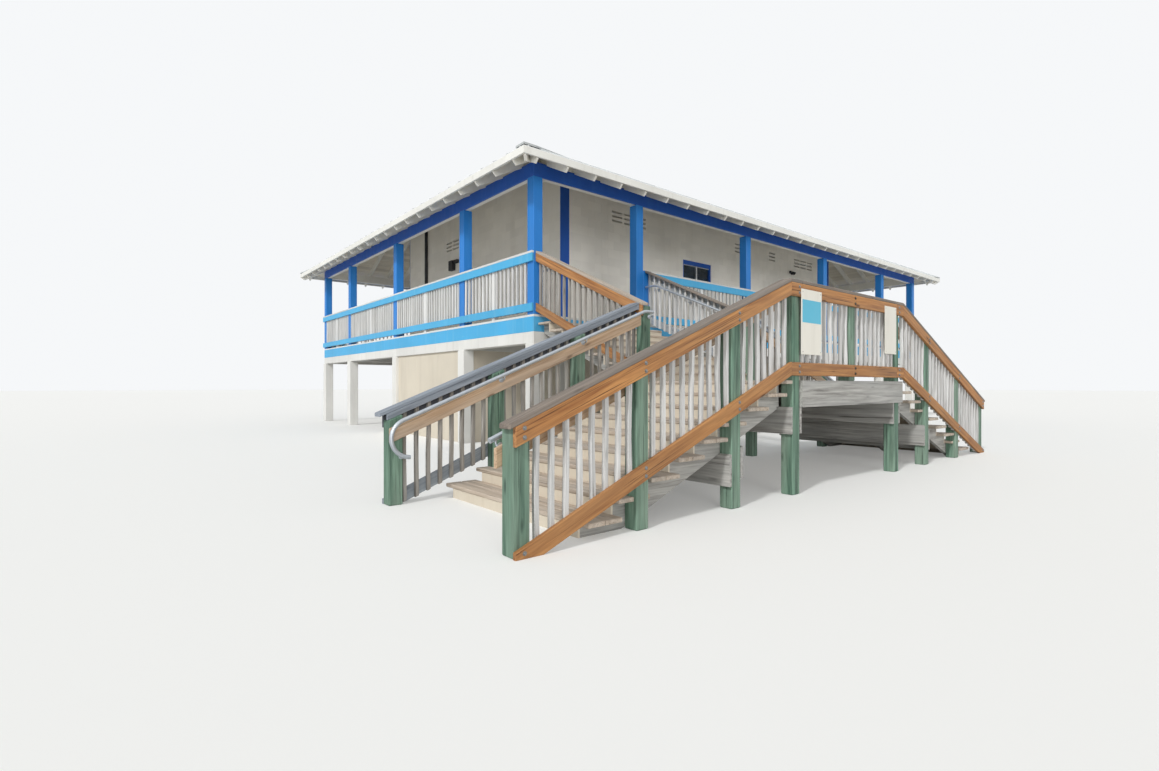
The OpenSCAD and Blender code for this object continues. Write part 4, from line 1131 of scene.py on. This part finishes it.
# Notice boards: bare plates with four screws each, the larger one with a plain field
notice = {"boards": [{"x": 0.180, "wide": 0.430, "high": 0.700, "field": (0.16, 0.51)},
                     {"x": 2.240, "wide": 0.350, "high": 0.620}],
          "y": near - t, "top": stairTop + railing["height"] - 0.090, "thick": 0.005,
          "margin": 0.020, "screwIn": 0.030, "screw": [(0.006, -0.001), (0.006, 0.0005),
                                                       (0.004, 0.001)]}
plates, fields, screws = [], [], []
y, top, thick, off = notice["y"], notice["top"], notice["thick"], notice["screwIn"]
for plan in notice["boards"]:
    x0, x1, high = plan["x"], plan["x"] + plan["wide"], plan["high"]
    plates.append(beam((x0, y - thick, top - high), (x1, y, top), 0.0018))
    if "field" in plan:
        f0, f1 = plan["field"]
        fields.append(beam((x0 + notice["margin"], y - thick - 0.001, top - f1 * high),
                           (x1 - notice["margin"], y - thick + 0.0005, top - f0 * high), 0.0005))
    screws += [(x, y - thick, z) for x in (x0 + off, x1 - off)
               for z in (top - off, top - high + off)]
piece("noticeBoards", plates, "sign", "sign_white", ["notice_boards"])
piece("noticeFields", fields, "signField", "sign_white", ["notice_boards"])
piece("noticeScrews", turned(screws, (0, -1, 0), notice["screw"], 10), "bolt", "galvanised")

# Wall lamp: junction box and two tilted heads
wallLamp = {"x": 11.460, "z": deckTop + 2.400, "boxHalf": 0.060, "boxOut": 0.045,
            "boxHigh": (0.010, 0.090), "headSide": 0.035, "headOut": 0.075, "headHigh": 0.040,
            "tilt": (0.55, -0.55, -0.62), "head": [
                (0.012, -0.03), (0.026, -0.025), (0.030, 0.0), (0.034, 0.02), (0.050, 0.055),
                (0.052, 0.085), (0.046, 0.087), (0.040, 0.070)]}
x, z, half = wallLamp["x"], wallLamp["z"], wallLamp["boxHalf"]
low, high = [z + lift for lift in wallLamp["boxHigh"]]
lampParts = [beam((x - half, inY - wallLamp["boxOut"], low), (x + half, inY, high), 0.008)]
for s in (-1, 1):
    centre = (x + s * wallLamp["headSide"], inY - wallLamp["headOut"], z + wallLamp["headHigh"])
    lampParts.append(turned([centre], wallLamp["tilt"] * np.array((s, 1, 1)), wallLamp["head"], 20))
piece("wallLamp", lampParts, "dark", "dark_fitting", ["wall_lamp"], smooth=True)
print("room, window, boards and lamp made")

# Finishes of the CAD nodes that stay
nodesWith = {
    "block": ["front_wall", "back_wall", "left_wall", "right_wall", "vent_blocks"],
    "blue": ["corner_trim", "door_frames"], "rafter": ["rafters", "hip_rafters", "ridge_beam"],
    "frameX": ["landing_frame", "side_stringers"], "frameY": ["post_ties", "upper_stringers"],
    "joist": ["deck_joists"], "riser": ["stair_risers"], "roof": ["roof_caps"],
    "fascia": ["eave_trim"], "glass": ["window_glass"], "dark": ["wall_pipe"]}
for key, names in nodesWith.items():
    for name in names:
        for slotOfNode in nodes[name].material_slots:
            slotOfNode.material = finishes[key]

# Floor, backdrop and light
ground = {"half": 160.0, "colour": (0.72, 0.72, 0.70, 1), "glow": (0.9, 0.9, 0.88, 1),
          "glowShare": 0.22}
half = ground["half"]
floorMesh = bpy.data.meshes.new("floor")
floorMesh.from_pydata([(-half, -half, 0), (half, -half, 0), (half, half, 0), (-half, half, 0)], [],
                      [(0, 1, 2, 3)])
floor = bpy.data.objects.new("floor", floorMesh)
bpy.context.scene.collection.objects.link(floor)
floorFinish = Finish("paleFloor", 0.9)
seen = floorFinish.add("LightPath", {}).outputs["Is Camera Ray"]
floorFinish.shader.inputs["Base Color"].default_value = ground["colour"]
floorFinish.shader.inputs["Emission Color"].default_value = ground["glow"]
floorFinish.put(floorFinish.shader.inputs["Emission Strength"],
                floorFinish.maths("MULTIPLY", seen, ground["glowShare"]))
floorMesh.materials.append(floorFinish.material)

# Two lamps shine along their own -Z: each is tipped from the zenith, then turned to its bearing
lamps = {"key": (0.58 * math.pi, 5.0, 40.0, 194.0), "fill": (0.34 * math.pi, 28.0, 9.0, 246.0)}
for name, (energy, spreadOfLamp, lift, bearing) in lamps.items():
    lampData = bpy.data.lights.new(name, "SUN")
    lampData.energy = energy
    lampData.angle = math.radians(spreadOfLamp)
    lamp = bpy.data.objects.new(name, lampData)
    bpy.context.scene.collection.objects.link(lamp)
    lamp.rotation_euler = (math.radians(90 - lift), 0, math.radians(bearing + 90))

# The sky lights the scene less than it shows to the camera and in reflections
sky = {"colour": (0.97, 0.985, 1.0, 1), "light": 0.50, "shown": 0.95}
world = bpy.data.worlds.new("sky")
bpy.context.scene.world = world
world.use_nodes = True
skyNodes = Nodes(world.node_tree)
background = world.node_tree.nodes["Background"]
background.inputs["Color"].default_value = sky["colour"]
ray = skyNodes.add("LightPath", {}).outputs
mirrorRay = skyNodes.maths("MAXIMUM", ray["Is Glossy Ray"], ray["Is Transmission Ray"])
seenBy = skyNodes.maths("MAXIMUM", ray["Is Camera Ray"], mirrorRay)
skyNodes.put(background.inputs["Strength"],
             skyNodes.ramp(seenBy, 0.0, 1.0, sky["light"], sky["shown"]))
bpy.context.scene.view_settings.view_transform = "Standard"

print("scene ready")
